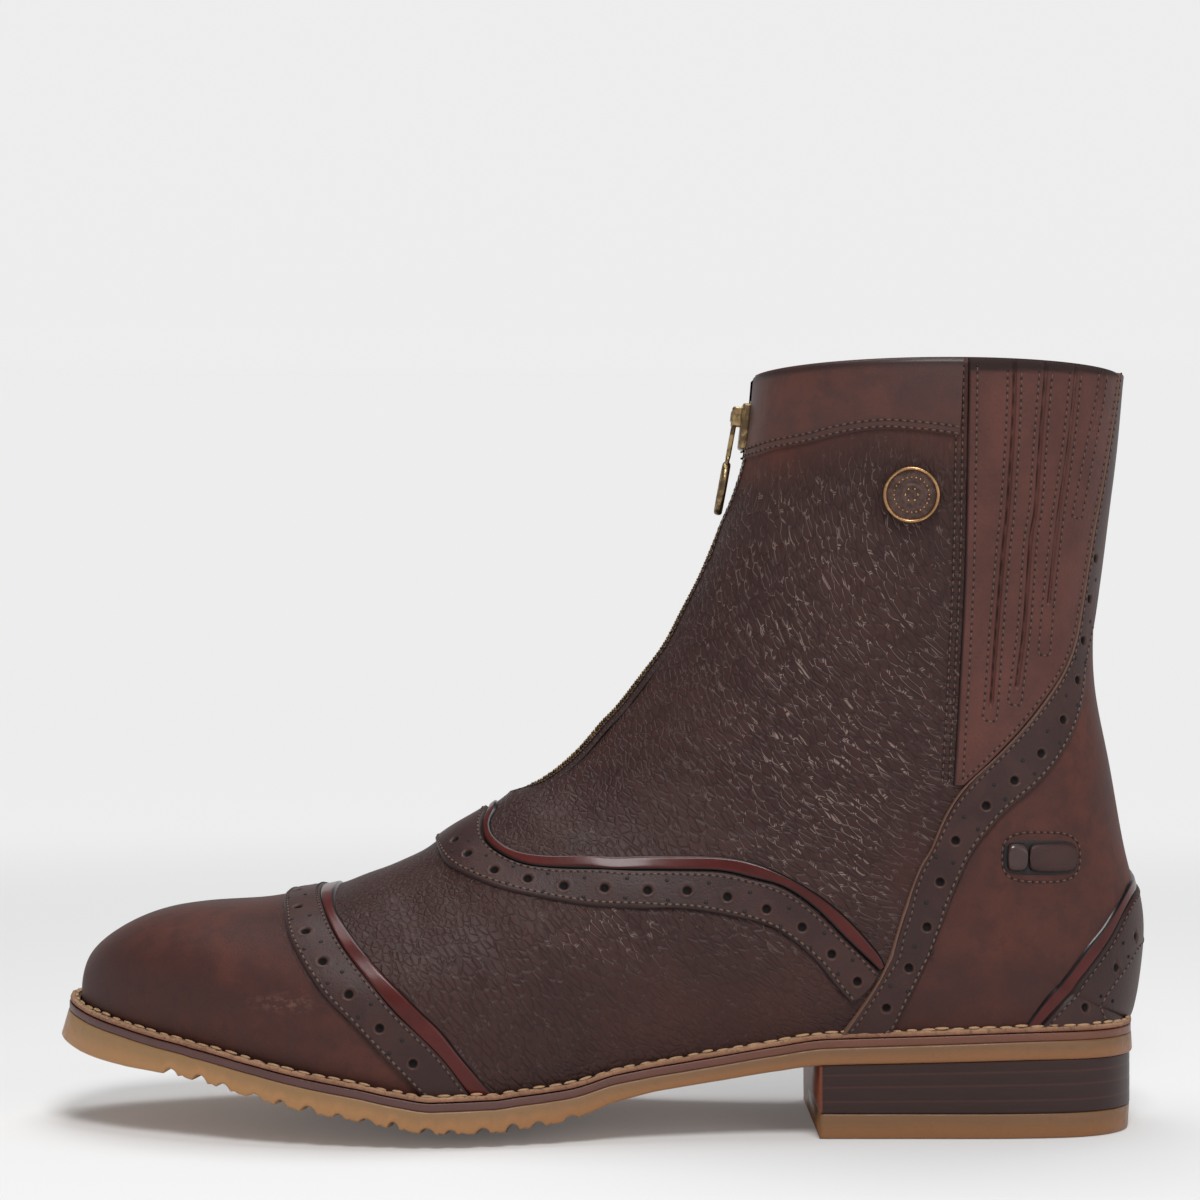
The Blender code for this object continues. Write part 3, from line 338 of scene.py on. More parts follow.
class Section:
    """One outline of the upper, at a row of the table or between two."""

    def __init__(self, t):
        value = {name: row_value(name, t) for name in SECTION_COLUMNS}
        swing = value["swing"] * HALF_BALL
        back_x = along(value["back_x"])
        seat_x = min(back_x, along(SECTIONS[HEEL_ROW][2]))
        base = bed(seat_x, base_edge(min(t, HEEL_ROW), -1).y)
        back_z = max(value["back_z"], 0.0) if t > HEEL_ROW else 0.0
        self.front = Vector((along(value["front_x"]), swing, base + SHAFT_HEIGHT * value["front_z"]))
        self.back = Vector((back_x, swing, base + SHAFT_HEIGHT * back_z))
        self.value = value
        self.t = t
        self.hump = COLLAR_HUMP * max(t - HEEL_ROW, 0.0) / (LAST_ROW - HEEL_ROW)
        self.slot = self.slot_start()

    def point(self, a):
        """Point of the upper's surface: a is 0 in front, -1 and 1 at the base."""
        value = self.value
        side = 1 if a > 0 else -1
        half = max(value["inner" if side > 0 else "outer"], 0.0) * HALF_BALL
        base = 0.0
        if self.t < HEEL_ROW:
            base = max(value["base_inner" if side > 0 else "base_outer"], 0.0) * HALF_BALL
        wide = value["wide"]
        reach = abs(a)
        if reach <= 0.5:
            angle = math.pi * reach
            power = 2 / value["crest"]
            depth = wide + (1 - wide) * max(math.cos(angle), 0.0) ** power
            out = half * max(math.sin(angle), 0.0) ** power
        else:
            keel = value["keel"]
            drop = math.sin(math.pi * (reach - 0.5))
            narrow = 1 - (base / half) ** keel if half > 0 else 1.0
            depth = wide * (1 - drop)
            out = half * max(1 - narrow * drop ** keel, 0.0) ** (1 / keel)
        point = self.back.lerp(self.front, depth)
        point.z += self.hump * math.sin(math.pi * depth) ** 0.5 if 0 < depth < 1 else 0.0
        point.y += side * out
        return point

    def slot_start(self):
        """Where, on each side, the leather begins beside the zip's slot."""
        if self.t <= THROAT_ROW:
            return 0.0
        share = (self.t - THROAT_ROW) / (LAST_ROW - THROAT_ROW)
        half = ZIP_SLOT / 2 * min(1.0, 0.5 + 6.0 * share)
        low = 0.0
        high = 0.3
        for _ in range(20):
            middle = (low + high) / 2
            if abs(self.point(middle).y - self.front.y) < half:
                low = middle
            else:
                high = middle
        return high

    def girth(self, u):
        """Surface point by girth: u is 0 at the front edge and -1 or 1 at the base or back."""
        side = 1 if u > 0 else -1
        return self.point(side * (self.slot + (1 - self.slot) * abs(u)))


SKIN_ROWS = 250
SKIN_COLUMNS = 90
SKIN_SMOOTHING = 10
# Soft creases of the leather: pixel line, width and depth in metres
CREASES = (
    (((560, 815), (590, 790), (628, 772)), 0.0030, 0.0007),
    (((610, 742), (650, 722), (700, 716)), 0.0034, 0.0008),
    (((650, 690), (690, 668), (745, 664)), 0.0030, 0.0006),
    (((520, 842), (560, 826), (610, 822)), 0.0022, 0.0004),
    (((398, 880), (420, 915), (425, 960)), 0.0030, 0.0004),
    (((470, 905), (500, 940), (505, 985)), 0.0036, 0.0005),
    (((905, 640), (935, 700), (930, 760)), 0.0050, 0.0006),
    (((1008, 900), (1060, 905), (1110, 885)), 0.0050, 0.0005),
    (((700, 560), (760, 545), (820, 548)), 0.0050, 0.0005),
)


class Skin:
    """The upper's fine outer surface, read by row t and girth u."""

    def __init__(self):
        self.builder = bmesh.new()
        row_layer = self.builder.verts.layers.float.new("row_at")
        girth_layer = self.builder.verts.layers.float.new("girth_at")
        side_layer = self.builder.faces.layers.int.new("side_at")
        sections = [Section(LAST_ROW * i / SKIN_ROWS) for i in range(SKIN_ROWS + 1)]
        for side in (-1, 1):
            grid = bmesh.ops.create_grid(
                self.builder, x_segments=SKIN_COLUMNS, y_segments=SKIN_ROWS, size=1.0,
            )["verts"]
            for vert in grid:
                girth = (vert.co.x + 1) / 2
                i = round((vert.co.y + 1) / 2 * SKIN_ROWS)
                vert[row_layer] = LAST_ROW * i / SKIN_ROWS
                vert[girth_layer] = girth
                vert.co = sections[i].girth(side * max(girth, 1e-9))
            for face in {face for vert in grid for face in vert.link_faces}:
                face[side_layer] = side
        joined = [
            vert for vert in self.builder.verts
            if (vert[girth_layer] < 1e-6 and vert[row_layer] <= THROAT_ROW + 1e-6)
            or (vert[girth_layer] > 1 - 1e-6 and vert[row_layer] >= HEEL_ROW - 1e-6)
            or vert[row_layer] < 1e-6
        ]
        bmesh.ops.remove_doubles(self.builder, verts=joined, dist=1e-5)
        inside = [vert for vert in self.builder.verts if not vert.is_boundary]
        for _ in range(SKIN_SMOOTHING):
            bmesh.ops.smooth_vert(
                self.builder, verts=inside, factor=0.5, use_axis_x=True, use_axis_y=True, use_axis_z=True,
            )
        bmesh.ops.recalc_face_normals(self.builder, faces=self.builder.faces)
        self.builder.normal_update()
        middle = max(self.builder.verts, key=lambda vert: -vert.co.y)
        if middle.normal.y > 0:
            bmesh.ops.reverse_faces(self.builder, faces=self.builder.faces)
        self.layers = (row_layer, girth_layer, side_layer)
        self.read()

    def read(self):
        """Takes the places and normals of the mesh into the table."""
        row_layer, girth_layer, side_layer = self.layers
        self.builder.normal_update()
        self.builder.faces.ensure_lookup_table()
        self.table = {}
        for face in self.builder.faces:
            side = face[side_layer]
            for vert in face.verts:
                i = round(vert[row_layer] / LAST_ROW * SKIN_ROWS)
                j = round(vert[girth_layer] * SKIN_COLUMNS)
                self.table[(side, i, j)] = (vert.co.copy(), vert.normal.copy())
                if i == 0:
                    for other in range(SKIN_COLUMNS + 1):
                        self.table[(side, 0, other)] = (vert.co.copy(), vert.normal.copy())
        self.tree = BVHTree.FromBMesh(self.builder)

    def at(self, t, u):
        """Point and normal at a place."""
        side = 1 if u > 0 else -1
        row = clamped(t / LAST_ROW) * SKIN_ROWS
        column = min(abs(u), 1.0) * SKIN_COLUMNS
        i = min(int(row), SKIN_ROWS - 1)
        j = min(int(column), SKIN_COLUMNS - 1)
        f = row - i
        g = column - j
        point = Vector()
        normal = Vector()
        for di, wi in ((0, 1 - f), (1, f)):
            for dj, wj in ((0, 1 - g), (1, g)):
                place, outward = self.table[(side, i + di, j + dj)]
                point += place * wi * wj
                normal += outward * wi * wj
        return point, normal.normalized()

    def seen(self, x, y):
        """Place on the skin seen at a pixel of the photo, or the nearest to it."""
        row_layer, girth_layer, side_layer = self.layers
        for radius in range(0, 60):
            for dx, dy in ((0, radius), (-radius, 0), (radius, 0), (0, -radius), (-radius, radius)):
                ray = Vector((x + dx - PHOTO_MIDDLE, FOCAL_PX, PHOTO_MIDDLE - y - dy)).normalized()
                hit, _, index, _ = self.tree.ray_cast(CAMERA_AT, ray)
                if hit is None:
                    continue
                face = self.builder.faces[index]
                shares = poly_3d_calc([vert.co for vert in face.verts], hit)
                t = sum(share * vert[row_layer] for share, vert in zip(shares, face.verts))
                u = sum(share * vert[girth_layer] for share, vert in zip(shares, face.verts))
                return t, u * face[side_layer]
        return None


SKIN = Skin()


class Path:
    """Smooth line on the skin through places (t, u), read by its share of length."""

    def __init__(self, places, lift=0.0):
        steps = 10 if len(places) < 16 else 2
        ts = [place[0] for place in places]
        us = [place[1] for place in places]
        count = (len(places) - 1) * steps
        dense = [(spline(ts, k / steps), spline(us, k / steps)) for k in range(count + 1)]
        for _ in range(6):
            dense = dense[:1] + [
                ((a[0] + 2 * b[0] + c[0]) / 4, (a[1] + 2 * b[1] + c[1]) / 4)
                for a, b, c in zip(dense, dense[1:], dense[2:])
            ] + dense[-1:]
        self.places = dense
        self.lift = lift
        self.points = [SKIN.at(*place)[0] for place in dense]
        self.reached = [0.0]
        for a, b in zip(self.points, self.points[1:]):
            self.reached.append(self.reached[-1] + (b - a).length)
        self.length = self.reached[-1]

    def place(self, share):
        goal = clamped(share) * self.length
        low = 0
        high = len(self.reached) - 1
        while high - low > 1:
            middle = (low + high) // 2
            if self.reached[middle] <= goal:
                low = middle
            else:
                high = middle
        span = self.reached[high] - self.reached[low]
        f = (goal - self.reached[low]) / span if span > 0 else 0.0
        a = self.places[low]
        b = self.places[high]
        return a[0] + (b[0] - a[0]) * f, a[1] + (b[1] - a[1]) * f

    def at(self, share):
        """Point, normal and direction of the line."""
        point, normal = SKIN.at(*self.place(share))
        ahead = SKIN.at(*self.place(min(share + 0.002, 1.0)))[0]
        behind = SKIN.at(*self.place(max(share - 0.002, 0.0)))[0]
        return point + normal * self.lift, normal, (ahead - behind).normalized()


def photo_places(pixels):
    """Places along a smooth pixel line on the outer side, a few pixels apart."""
    xs = [pixel[0] for pixel in pixels]
    ys = [pixel[1] for pixel in pixels]
    places = []
    for i in range(len(pixels) - 1):
        count = max(round(math.hypot(xs[i + 1] - xs[i], ys[i + 1] - ys[i]) / 4), 1)
        places += [SKIN.seen(spline(xs, i + k / count), spline(ys, i + k / count)) for k in range(count)]
    return places + [SKIN.seen(*pixels[-1])]


def exact_places(pixels):
    return [SKIN.seen(x, y) for x, y in pixels]


def to_base(places):
    """The line carried on to the upper's base."""
    before = places[-4]
    last = places[-1]
    if last[1] <= -0.995:
        return places[:-1] + [(last[0], -1.0)]
    slope = (last[0] - before[0]) / (last[1] - before[1]) if last[1] != before[1] else 0.0
    carried = min(max(slope * (-1.0 - last[1]), -0.35), 0.35)
    return places + [(last[0] + carried, -1.0)]


def mirrored(places):
    return [(t, -u) for t, u in places]


def over_crest(places):
    """A line from the outer base over the crest to the inner base."""
    outer = [place for place in places if place[1] < -0.02]
    crest = (outer[0][0] - (outer[1][0] - outer[0][0]) * 0.15, 0.0)
    return list(reversed(outer)) + [crest] + mirrored(outer)


def dent_skin():
    """Presses the soft creases into both sides of the skin."""
    lines = []
    for pixels, width, depth in CREASES:
        places = photo_places(pixels)
        for side_places in (places, mirrored(places)):
            path = Path(side_places)
            for k in range(41):
                share = k / 40
                fade = math.sin(math.pi * (0.08 + 0.84 * share))
                lines.append((SKIN.at(*path.place(share))[0], width, depth * fade))
    tree = KDTree(len(lines))
    for index, line in enumerate(lines):
        tree.insert(line[0], index)
    tree.balance()
    for vert in SKIN.builder.verts:
        _, index, distance = tree.find(vert.co)
        _, width, depth = lines[index]
        if distance < 3 * width:
            reach = distance / width
            vert.co -= vert.normal * depth * (math.exp(-reach * reach) - 0.35 * math.exp(-(reach - 1.8) ** 2))
    SKIN.read()


dent_skin()


def mesh_object(name, builder, material, nodes=(), body="boot", smooth=True):
    """Finished piece that rides on its body and stands for CAD nodes."""
    mesh = bpy.data.meshes.new(name)
    builder.to_mesh(mesh)
    builder.free()
    mesh.materials.append(material)
    if smooth:
        mesh.shade_smooth()
    item = bpy.data.objects.new(name, mesh)
    bpy.context.scene.collection.objects.link(item)
    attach(item, body)
    if nodes:
        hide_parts(*nodes)
    return item


class Graph:
    """Short way to lay out a node tree."""

    def __init__(self, tree):
        self.tree = tree
        self.column = -1400

    def add(self, kind, inputs=None, **settings):
        node = self.tree.nodes.new(kind)
        node.location = (self.column, 0)
        self.column += 40
        for key, value in settings.items():
            setattr(node, key, value)
        for key, value in (inputs or {}).items():
            self.feed(node.inputs[key], value)
        return node

    def feed(self, socket, value):
        if isinstance(value, bpy.types.NodeSocket):
            self.tree.links.new(value, socket)
        else:
            socket.default_value = value

    def math(self, operation, a, b=0.0, clamp=False):
        node = self.add("ShaderNodeMath", {0: a, 1: b}, operation=operation, use_clamp=clamp)
        return node.outputs[0]

    def noise(self, vector, scale, detail=4.0, roughness=0.5, distortion=0.0):
        node = self.add("ShaderNodeTexNoise", {
            "Vector": vector, "Scale": scale, "Detail": detail,
            "Roughness": roughness, "Distortion": distortion,
        })
        return node.outputs["Fac"]

    def cells(self, vector, scale, feature="F1"):
        node = self.add("ShaderNodeTexVoronoi", {"Vector": vector, "Scale": scale}, feature=feature)
        return node.outputs["Distance"]

    def step(self, value, low, high, to_low=0.0, to_high=1.0):
        node = self.add("ShaderNodeMapRange", {
            "Value": value, "From Min": low, "From Max": high, "To Min": to_low, "To Max": to_high,
        }, interpolation_type="SMOOTHSTEP")
        return node.outputs["Result"]

    def mix(self, factor, a, b, blend="MIX"):
        node = self.add("ShaderNodeMix", data_type="RGBA", blend_type=blend)
        self.feed(node.inputs[0], factor)
        self.feed(node.inputs[6], a if isinstance(a, bpy.types.NodeSocket) else (*a, 1.0))
        self.feed(node.inputs[7], b if isinstance(b, bpy.types.NodeSocket) else (*b, 1.0))
        return node.outputs[2]

    def blend(self, factor, a, b):
        node = self.add("ShaderNodeMix", data_type="FLOAT")
        self.feed(node.inputs[0], factor)
        self.feed(node.inputs[2], a)
        self.feed(node.inputs[3], b)
        return node.outputs[0]

    def field(self, name):
        return self.add("ShaderNodeAttribute", attribute_name=name).outputs["Fac"]

    def place(self):
        return self.add("ShaderNodeTexCoord").outputs["Object"]

    def stretched(self, vector, scale, turn=(0.0, 0.0, 0.0)):
        node = self.add("ShaderNodeMapping", {"Vector": vector, "Scale": scale, "Rotation": turn})
        return node.outputs[0]

    def far_from(self, vector, middle, scale):
        """Distance from a point, each axis by its own scale."""
        away = self.add("ShaderNodeVectorMath", {0: vector, 1: middle}, operation="SUBTRACT").outputs[0]
        spread = self.stretched(away, scale)
        return self.add("ShaderNodeVectorMath", {0: spread}, operation="LENGTH").outputs["Value"]

    def bump(self, height, distance, strength=1.0):
        node = self.add("ShaderNodeBump", {"Height": height, "Distance": distance, "Strength": strength})
        return node.outputs[0]

    def surface(self, shader, colour, relief, depth, rough):
        """Colour, relief and roughness of a plain material."""
        self.feed(shader.inputs["Base Color"], colour)
        self.feed(shader.inputs["Normal"], self.bump(relief, depth))
        shader.inputs["Roughness"].default_value = rough

    def use(self, group, **inputs):
        node = self.add("ShaderNodeGroup", node_tree=group)
        for key, value in inputs.items():
            self.feed(node.inputs[key.replace("_", " ")], value)
        return node.outputs


def new_group(name, inputs, outputs):
    tree = bpy.data.node_groups.new(name, "ShaderNodeTree")
    for label, kind, default in inputs:
        socket = tree.interface.new_socket(name=label, in_out="INPUT", socket_type=kind)
        if default is not None:
            socket.default_value = default
    for label, kind in outputs:
        tree.interface.new_socket(name=label, in_out="OUTPUT", socket_type=kind)
    graph = Graph(tree)
    source = graph.add("NodeGroupInput")
    sink = graph.add("NodeGroupOutput")
    return tree, graph, source, sink


def grain_group():
    """Tumbled grain: long pebbles that lie in rings round the ankle, with painted shade in their creases and
    painted highlights along one side of their edges.
    """
    tree, g, source, sink = new_group(
        "tumbled_grain",
        (("Vector", "NodeSocketVector", None), ("Scale", "NodeSocketFloat", 600.0),
         ("Warp", "NodeSocketFloat", 0.0007)),
        (("Height", "NodeSocketFloat"), ("Crease", "NodeSocketFloat"), ("Glint", "NodeSocketFloat")),
    )
    vector = source.outputs["Vector"]
    bend = g.add("ShaderNodeTexNoise", {"Vector": vector, "Scale": 190.0, "Detail": 2.0})
    grey = (0.5, 0.5, 0.5)
    shift = g.add("ShaderNodeVectorMath", {0: bend.outputs["Color"], 1: grey}, operation="SUBTRACT")
    pushed = g.add("ShaderNodeVectorMath", {0: shift.outputs[0]}, operation="SCALE")
    g.feed(pushed.inputs["Scale"], source.outputs["Warp"])
    warped = g.add("ShaderNodeVectorMath", {0: vector, 1: pushed.outputs[0]}, operation="ADD").outputs[0]
    parts = g.add("ShaderNodeSeparateXYZ", {0: warped})
    left = g.math("SUBTRACT", GRAIN_MIDDLE[0], parts.outputs["X"])
    below = g.math("SUBTRACT", GRAIN_MIDDLE[2], parts.outputs["Z"])
    angle = g.math("ARCTAN2", below, left)
    angle = g.math("ADD", angle, g.math("MULTIPLY", g.math("SUBTRACT", bend.outputs["Fac"], 0.5), 0.16))
    angle = g.math("SNAP", angle, 0.22)
    rings = g.add("ShaderNodeVectorRotate", {
        "Vector": warped, "Center": GRAIN_MIDDLE, "Angle": angle,
    }, rotation_type="Y_AXIS").outputs[0]
    long = g.stretched(rings, (1.0, 1.0, 0.36))
    near_edge = g.cells(long, source.outputs["Scale"], "DISTANCE_TO_EDGE")
    middle = g.add("ShaderNodeTexVoronoi", {"Vector": long, "Scale": source.outputs["Scale"]}, feature="F1")
    away = g.add("ShaderNodeVectorMath", {0: long, 1: middle.outputs["Position"]}, operation="SUBTRACT")
    ahead = g.add("ShaderNodeSeparateXYZ", {0: away.outputs[0]}).outputs["X"]
    fold = g.step(near_edge, 0.0, 0.20)
    fine = g.noise(vector, 1700.0, 2.0)
    height = g.math("ADD", g.math("MULTIPLY", fold, 0.70), g.math("MULTIPLY", fine, 0.20))
    g.feed(sink.inputs["Height"], height)
    # Crease: the gaps between pebbles, darkened as painted shade
    crease = g.math("SUBTRACT", 1.0, fold, True)
    g.feed(sink.inputs["Crease"], crease)
    # Glint: painted highlight, a thin bright line just inside each pebble's edge
    band = g.math("MULTIPLY", g.step(near_edge, 0.01, 0.04), g.step(near_edge, 0.06, 0.12, 1.0, 0.0))
    # painted highlight only on the side of each pebble that faces the light
    side = g.step(ahead, -0.00032, -0.00012, 1.0, 0.0)
    patch = g.step(g.noise(vector, 260.0, 2.0), 0.38, 0.56)
    # painted glints strongest on the shaft, with a painted sheen spot on the vamp
    shaft = g.step(g.far_from(vector, GLINT_MIDDLE, (34.0, 0.0, 19.0)), 0.5, 1.5, 1.0, 0.22)
    sheen_spot = g.step(g.far_from(vector, SHEEN_MIDDLE, (45.0, 0.0, 80.0)), 0.3, 1.0, 0.8, 0.0)
    broad = g.math("MAXIMUM", shaft, sheen_spot)
    patch = g.math("MULTIPLY", patch, broad)
    g.feed(sink.inputs["Glint"], g.math("MULTIPLY", g.math("MULTIPLY", band, side), patch))
    return tree


def mottle_group():
    """Cloudy shading of hand-finished leather."""
    tree, g, source, sink = new_group(
        "mottling",
        (("Vector", "NodeSocketVector", None), ("Scale", "NodeSocketFloat", 40.0)),
        (("Cloud", "NodeSocketFloat"), ("Speck", "NodeSocketFloat")),
    )
    vector = source.outputs["Vector"]
    cloud = g.noise(vector, source.outputs["Scale"], 5.0, 0.6, 0.4)
    g.feed(sink.inputs["Cloud"], g.step(cloud, 0.32, 0.70))
    speck = g.noise(vector, 900.0, 3.0, 0.6)
    g.feed(sink.inputs["Speck"], g.step(speck, 0.55, 0.75))
    return tree


def pore_group():
    """Fine pores and hairline scratches of smooth leather."""
    tree, g, source, sink = new_group(
        "fine_pores",
        (("Vector", "NodeSocketVector", None), ("Scale", "NodeSocketFloat", 1700.0)),
        (("Height", "NodeSocketFloat"), ("Scratch", "NodeSocketFloat")),
    )
    vector = source.outputs["Vector"]
    pores = g.cells(vector, source.outputs["Scale"], "F1")
    soft = g.noise(vector, 700.0, 5.0, 0.7)
    height = g.math("ADD", g.math("MULTIPLY", g.step(pores, 0.0, 0.5), 0.4), soft)
    g.feed(sink.inputs["Height"], height)
    drawn = g.stretched(g.stretched(vector, (1.0, 1.0, 1.0), (0.0, 1.15, 0.0)), (1.0, 1.0, 0.12))
    scratch = g.noise(drawn, 900.0, 2.0, 0.5)
    g.feed(sink.inputs["Scratch"], g.step(scratch, 0.66, 0.78))
    return tree


GRAIN_MIDDLE = (0.1185, 0.0, 0.1690)
# Middle of the strongest painted glints, on the shaft
GLINT_MIDDLE = (0.0560, 0.0, 0.1040)
# Middle of the painted sheen spot on the vamp
SHEEN_MIDDLE = (0.0020, 0.0, 0.0500)
GRAIN = grain_group()
MOTTLE = mottle_group()
PORES = pore_group()


def new_material(name):
    material = bpy.data.materials.new(name)
    material.use_nodes = True
    graph = Graph(material.node_tree)
    shader = material.node_tree.nodes["Principled BSDF"]
    return material, graph, shader


def upper_leather():
    """Waxy smooth leather on the toe and the back, tumbled grain between."""
    material, g, shader = new_material("upper_leather")
    place = g.place()
    smooth = g.field("smooth")
    grain = g.use(GRAIN, Vector=place, Scale=680.0, Warp=0.0004)
    cloud = g.use(MOTTLE, Vector=place, Scale=34.0)
    pores = g.use(PORES, Vector=place)
    low = g.mix(cloud["Cloud"], (0.050, 0.0190, 0.0160), (0.088, 0.0275, 0.0190))
    blotch = g.noise(place, 210.0, 4.0, 0.65)
    low = g.mix(g.step(blotch, 0.44, 0.66, 0.0, 0.55), low, (0.043, 0.0178, 0.0158))
    pebbled = g.mix(cloud["Cloud"], (0.0335, 0.0136, 0.0116), (0.0450, 0.0186, 0.0154))
    # painted shade in the grain's creases
    grain_with_painted_light = g.mix(g.math("MULTIPLY", grain["Crease"], 0.36), pebbled, (0.013, 0.0065, 0.0058))
    # painted highlights: the grain's glints
    grain_with_painted_light = g.mix(g.math("MULTIPLY", grain["Glint"], 1.0), grain_with_painted_light, (0.215, 0.150, 0.130))
    colour = g.mix(smooth, grain_with_painted_light, low)
    # dark: painted shade along the sole and in broad patches on the upper, and the dark raw leather of cut
    # walls and the collar's top edge
    colour = g.mix(g.math("MULTIPLY", g.field("dark"), 0.75), colour, (0.016, 0.0070, 0.0060))
    rubbed = g.step(g.noise(g.stretched(place, (0.5, 1.0, 1.0)), 900.0, 4.0, 0.7), 0.47, 0.62)
    scuffed = g.math("MULTIPLY", g.math("MULTIPLY", g.field("scuff"), rubbed), 0.7)
    colour = g.mix(scuffed, colour, (0.17, 0.085, 0.062))
    colour = g.mix(g.math("MULTIPLY", cloud["Speck"], 0.08), colour, (0.11, 0.05, 0.038))
    g.feed(shader.inputs["Base Color"], colour)
    rough = g.blend(smooth, 0.46, 0.54)
    rough = g.math("ADD", rough, g.math("MULTIPLY", cloud["Cloud"], 0.08))
    rough = g.math("ADD", rough, g.math("MULTIPLY", pores["Scratch"], 0.08))
    g.feed(shader.inputs["Roughness"], rough)
    height = g.blend(smooth, grain["Height"], g.math("MULTIPLY", pores["Height"], 0.30))
    g.feed(shader.inputs["Normal"], g.bump(height, 0.00026, 0.9))
    shader.inputs["Specular IOR Level"].default_value = 0.21
    return material


def band_leather():
    """Cool dark brown leather of the brogued bands, with painted shade in its punched holes."""
    material, g, shader = new_material("band_leather")
    place = g.place()
    cloud = g.use(MOTTLE, Vector=place, Scale=60.0)
    pores = g.use(PORES, Vector=place, Scale=1300.0)
    colour = g.mix(cloud["Cloud"], (0.0270, 0.0100, 0.0088), (0.0450, 0.0172, 0.0145))
    edge = g.step(g.field("rim"), 0.0, 0.0009, 1.0, 0.0)
    colour = g.mix(g.math("MULTIPLY", edge, 0.8), colour, (0.012, 0.0065, 0.0062))
    near = g.field("hole")
    lip = g.math("MULTIPLY", g.step(near, 0.95, 1.15), g.step(near, 1.15, 1.5, 1.0, 0.0))
    colour = g.mix(g.math("MULTIPLY", lip, 0.5), colour, (0.085, 0.034, 0.020))
    # painted shade: the punched holes near-black
    hole = g.step(near, 0.72, 1.02, 1.0, 0.0)
    colour = g.mix(hole, colour, (0.0030, 0.0015, 0.0013))
    g.feed(shader.inputs["Base Color"], colour)
    rough = g.math("ADD", 0.46, g.math("MULTIPLY", hole, 0.4))
    g.feed(shader.inputs["Roughness"], g.math("ADD", rough, g.math("MULTIPLY", cloud["Cloud"], 0.08)))
    g.feed(shader.inputs["Normal"], g.bump(pores["Height"], 0.00010, 0.8))
    shader.inputs["Specular IOR Level"].default_value = 0.30
    return material


def patent_leather():
    material, g, shader = new_material("patent_leather")
    place = g.place()
    cloud = g.use(MOTTLE, Vector=place, Scale=80.0)
    colour = g.mix(cloud["Cloud"], (0.050, 0.0062, 0.0048), (0.074, 0.0100, 0.0075))
    edge = g.step(g.field("rim"), 0.0005, 0.0010, 1.0, 0.0)
    colour = g.mix(edge, colour, (0.006, 0.0034, 0.0034))
    g.feed(shader.inputs["Base Color"], colour)
    ripple = g.noise(place, 300.0, 2.0)
    g.feed(shader.inputs["Normal"], g.bump(ripple, 0.00010, 0.5))
    shader.inputs["Roughness"].default_value = 0.30
    shader.inputs["Specular IOR Level"].default_value = 0.20
    shader.inputs["Coat Weight"].default_value = 0.14
    shader.inputs["Coat Roughness"].default_value = 0.12
    return material


def gusset_leather():
    """Soft leather over elastic, with painted shade inside its slits."""
    material, g, shader = new_material("gusset_leather")
    place = g.place()
    cloud = g.use(MOTTLE, Vector=place, Scale=70.0)
    pores = g.use(PORES, Vector=place, Scale=900.0)
    colour = g.mix(cloud["Cloud"], (0.064, 0.0208, 0.0160), (0.095, 0.0300, 0.0222))
    near = g.field("slit")
    # painted shade: near-black in the slits' gaps
    colour = g.mix(g.step(near, 0.0001, 0.0004, 1.0, 0.0), colour, (0.0050, 0.0028, 0.0026))
    lip = g.math("MULTIPLY", g.step(near, 0.0004, 0.00055), g.step(near, 0.0006, 0.0009, 1.0, 0.0))
    colour = g.mix(g.math("MULTIPLY", lip, 0.40), colour, (0.15, 0.085, 0.070))
    rim = g.step(g.field("rim"), 0.0002, 0.0008, 1.0, 0.0)
    colour = g.mix(g.math("MULTIPLY", rim, 0.8), colour, (0.0060, 0.0034, 0.0032))
    folded = g.field("dark")
    colour = g.mix(g.math("MULTIPLY", folded, 0.85), colour, (0.014, 0.0075, 0.0065))
    g.feed(shader.inputs["Base Color"], colour)
    rough = g.math("ADD", 0.50, g.math("MULTIPLY", folded, 0.3))
    g.feed(shader.inputs["Roughness"], rough)
    g.feed(shader.inputs["Normal"], g.bump(pores["Height"], 0.00018, 0.8))
    shader.inputs["Specular IOR Level"].default_value = 0.28
    return material


def thread(name, colour_low, colour_high):
    material, g, shader = new_material(name)
    place = g.place()
    twist = g.noise(place, 2400.0, 3.0)
    g.surface(shader, g.mix(twist, colour_low, colour_high), twist, 0.0001, 0.7)
    return material


def gum_rubber():
    """Gum rubber, olive above and more orange towards the ground."""
    material, g, shader = new_material("gum_rubber")
    place = g.place()
    cloud = g.noise(place, 60.0, 4.0)
    height = g.field("height")
    tone = g.math("ADD", height, g.math("MULTIPLY", g.math("SUBTRACT", cloud, 0.5), 0.5))
    colour = g.mix(g.step(tone, 0.15, 0.85), (0.370, 0.182, 0.066), (0.258, 0.143, 0.058))
    dirt = g.noise(place, 420.0, 5.0, 0.65)
    colour = g.mix(g.step(dirt, 0.58, 0.80, 0.0, 0.35), colour, (0.17, 0.085, 0.034))
    ahead = g.add("ShaderNodeSeparateXYZ", {0: place}).outputs["X"]
    colour = g.mix(g.step(ahead, -0.12, 0.07, 0.0, 0.75), colour, (0.45, 0.32, 0.24), "MULTIPLY")
    g.feed(shader.inputs["Base Color"], colour)
    g.feed(shader.inputs["Roughness"], g.step(dirt, 0.3, 0.8, 0.38, 0.6))
    g.feed(shader.inputs["Normal"], g.bump(g.noise(place, 700.0, 4.0), 0.00012))
    return material


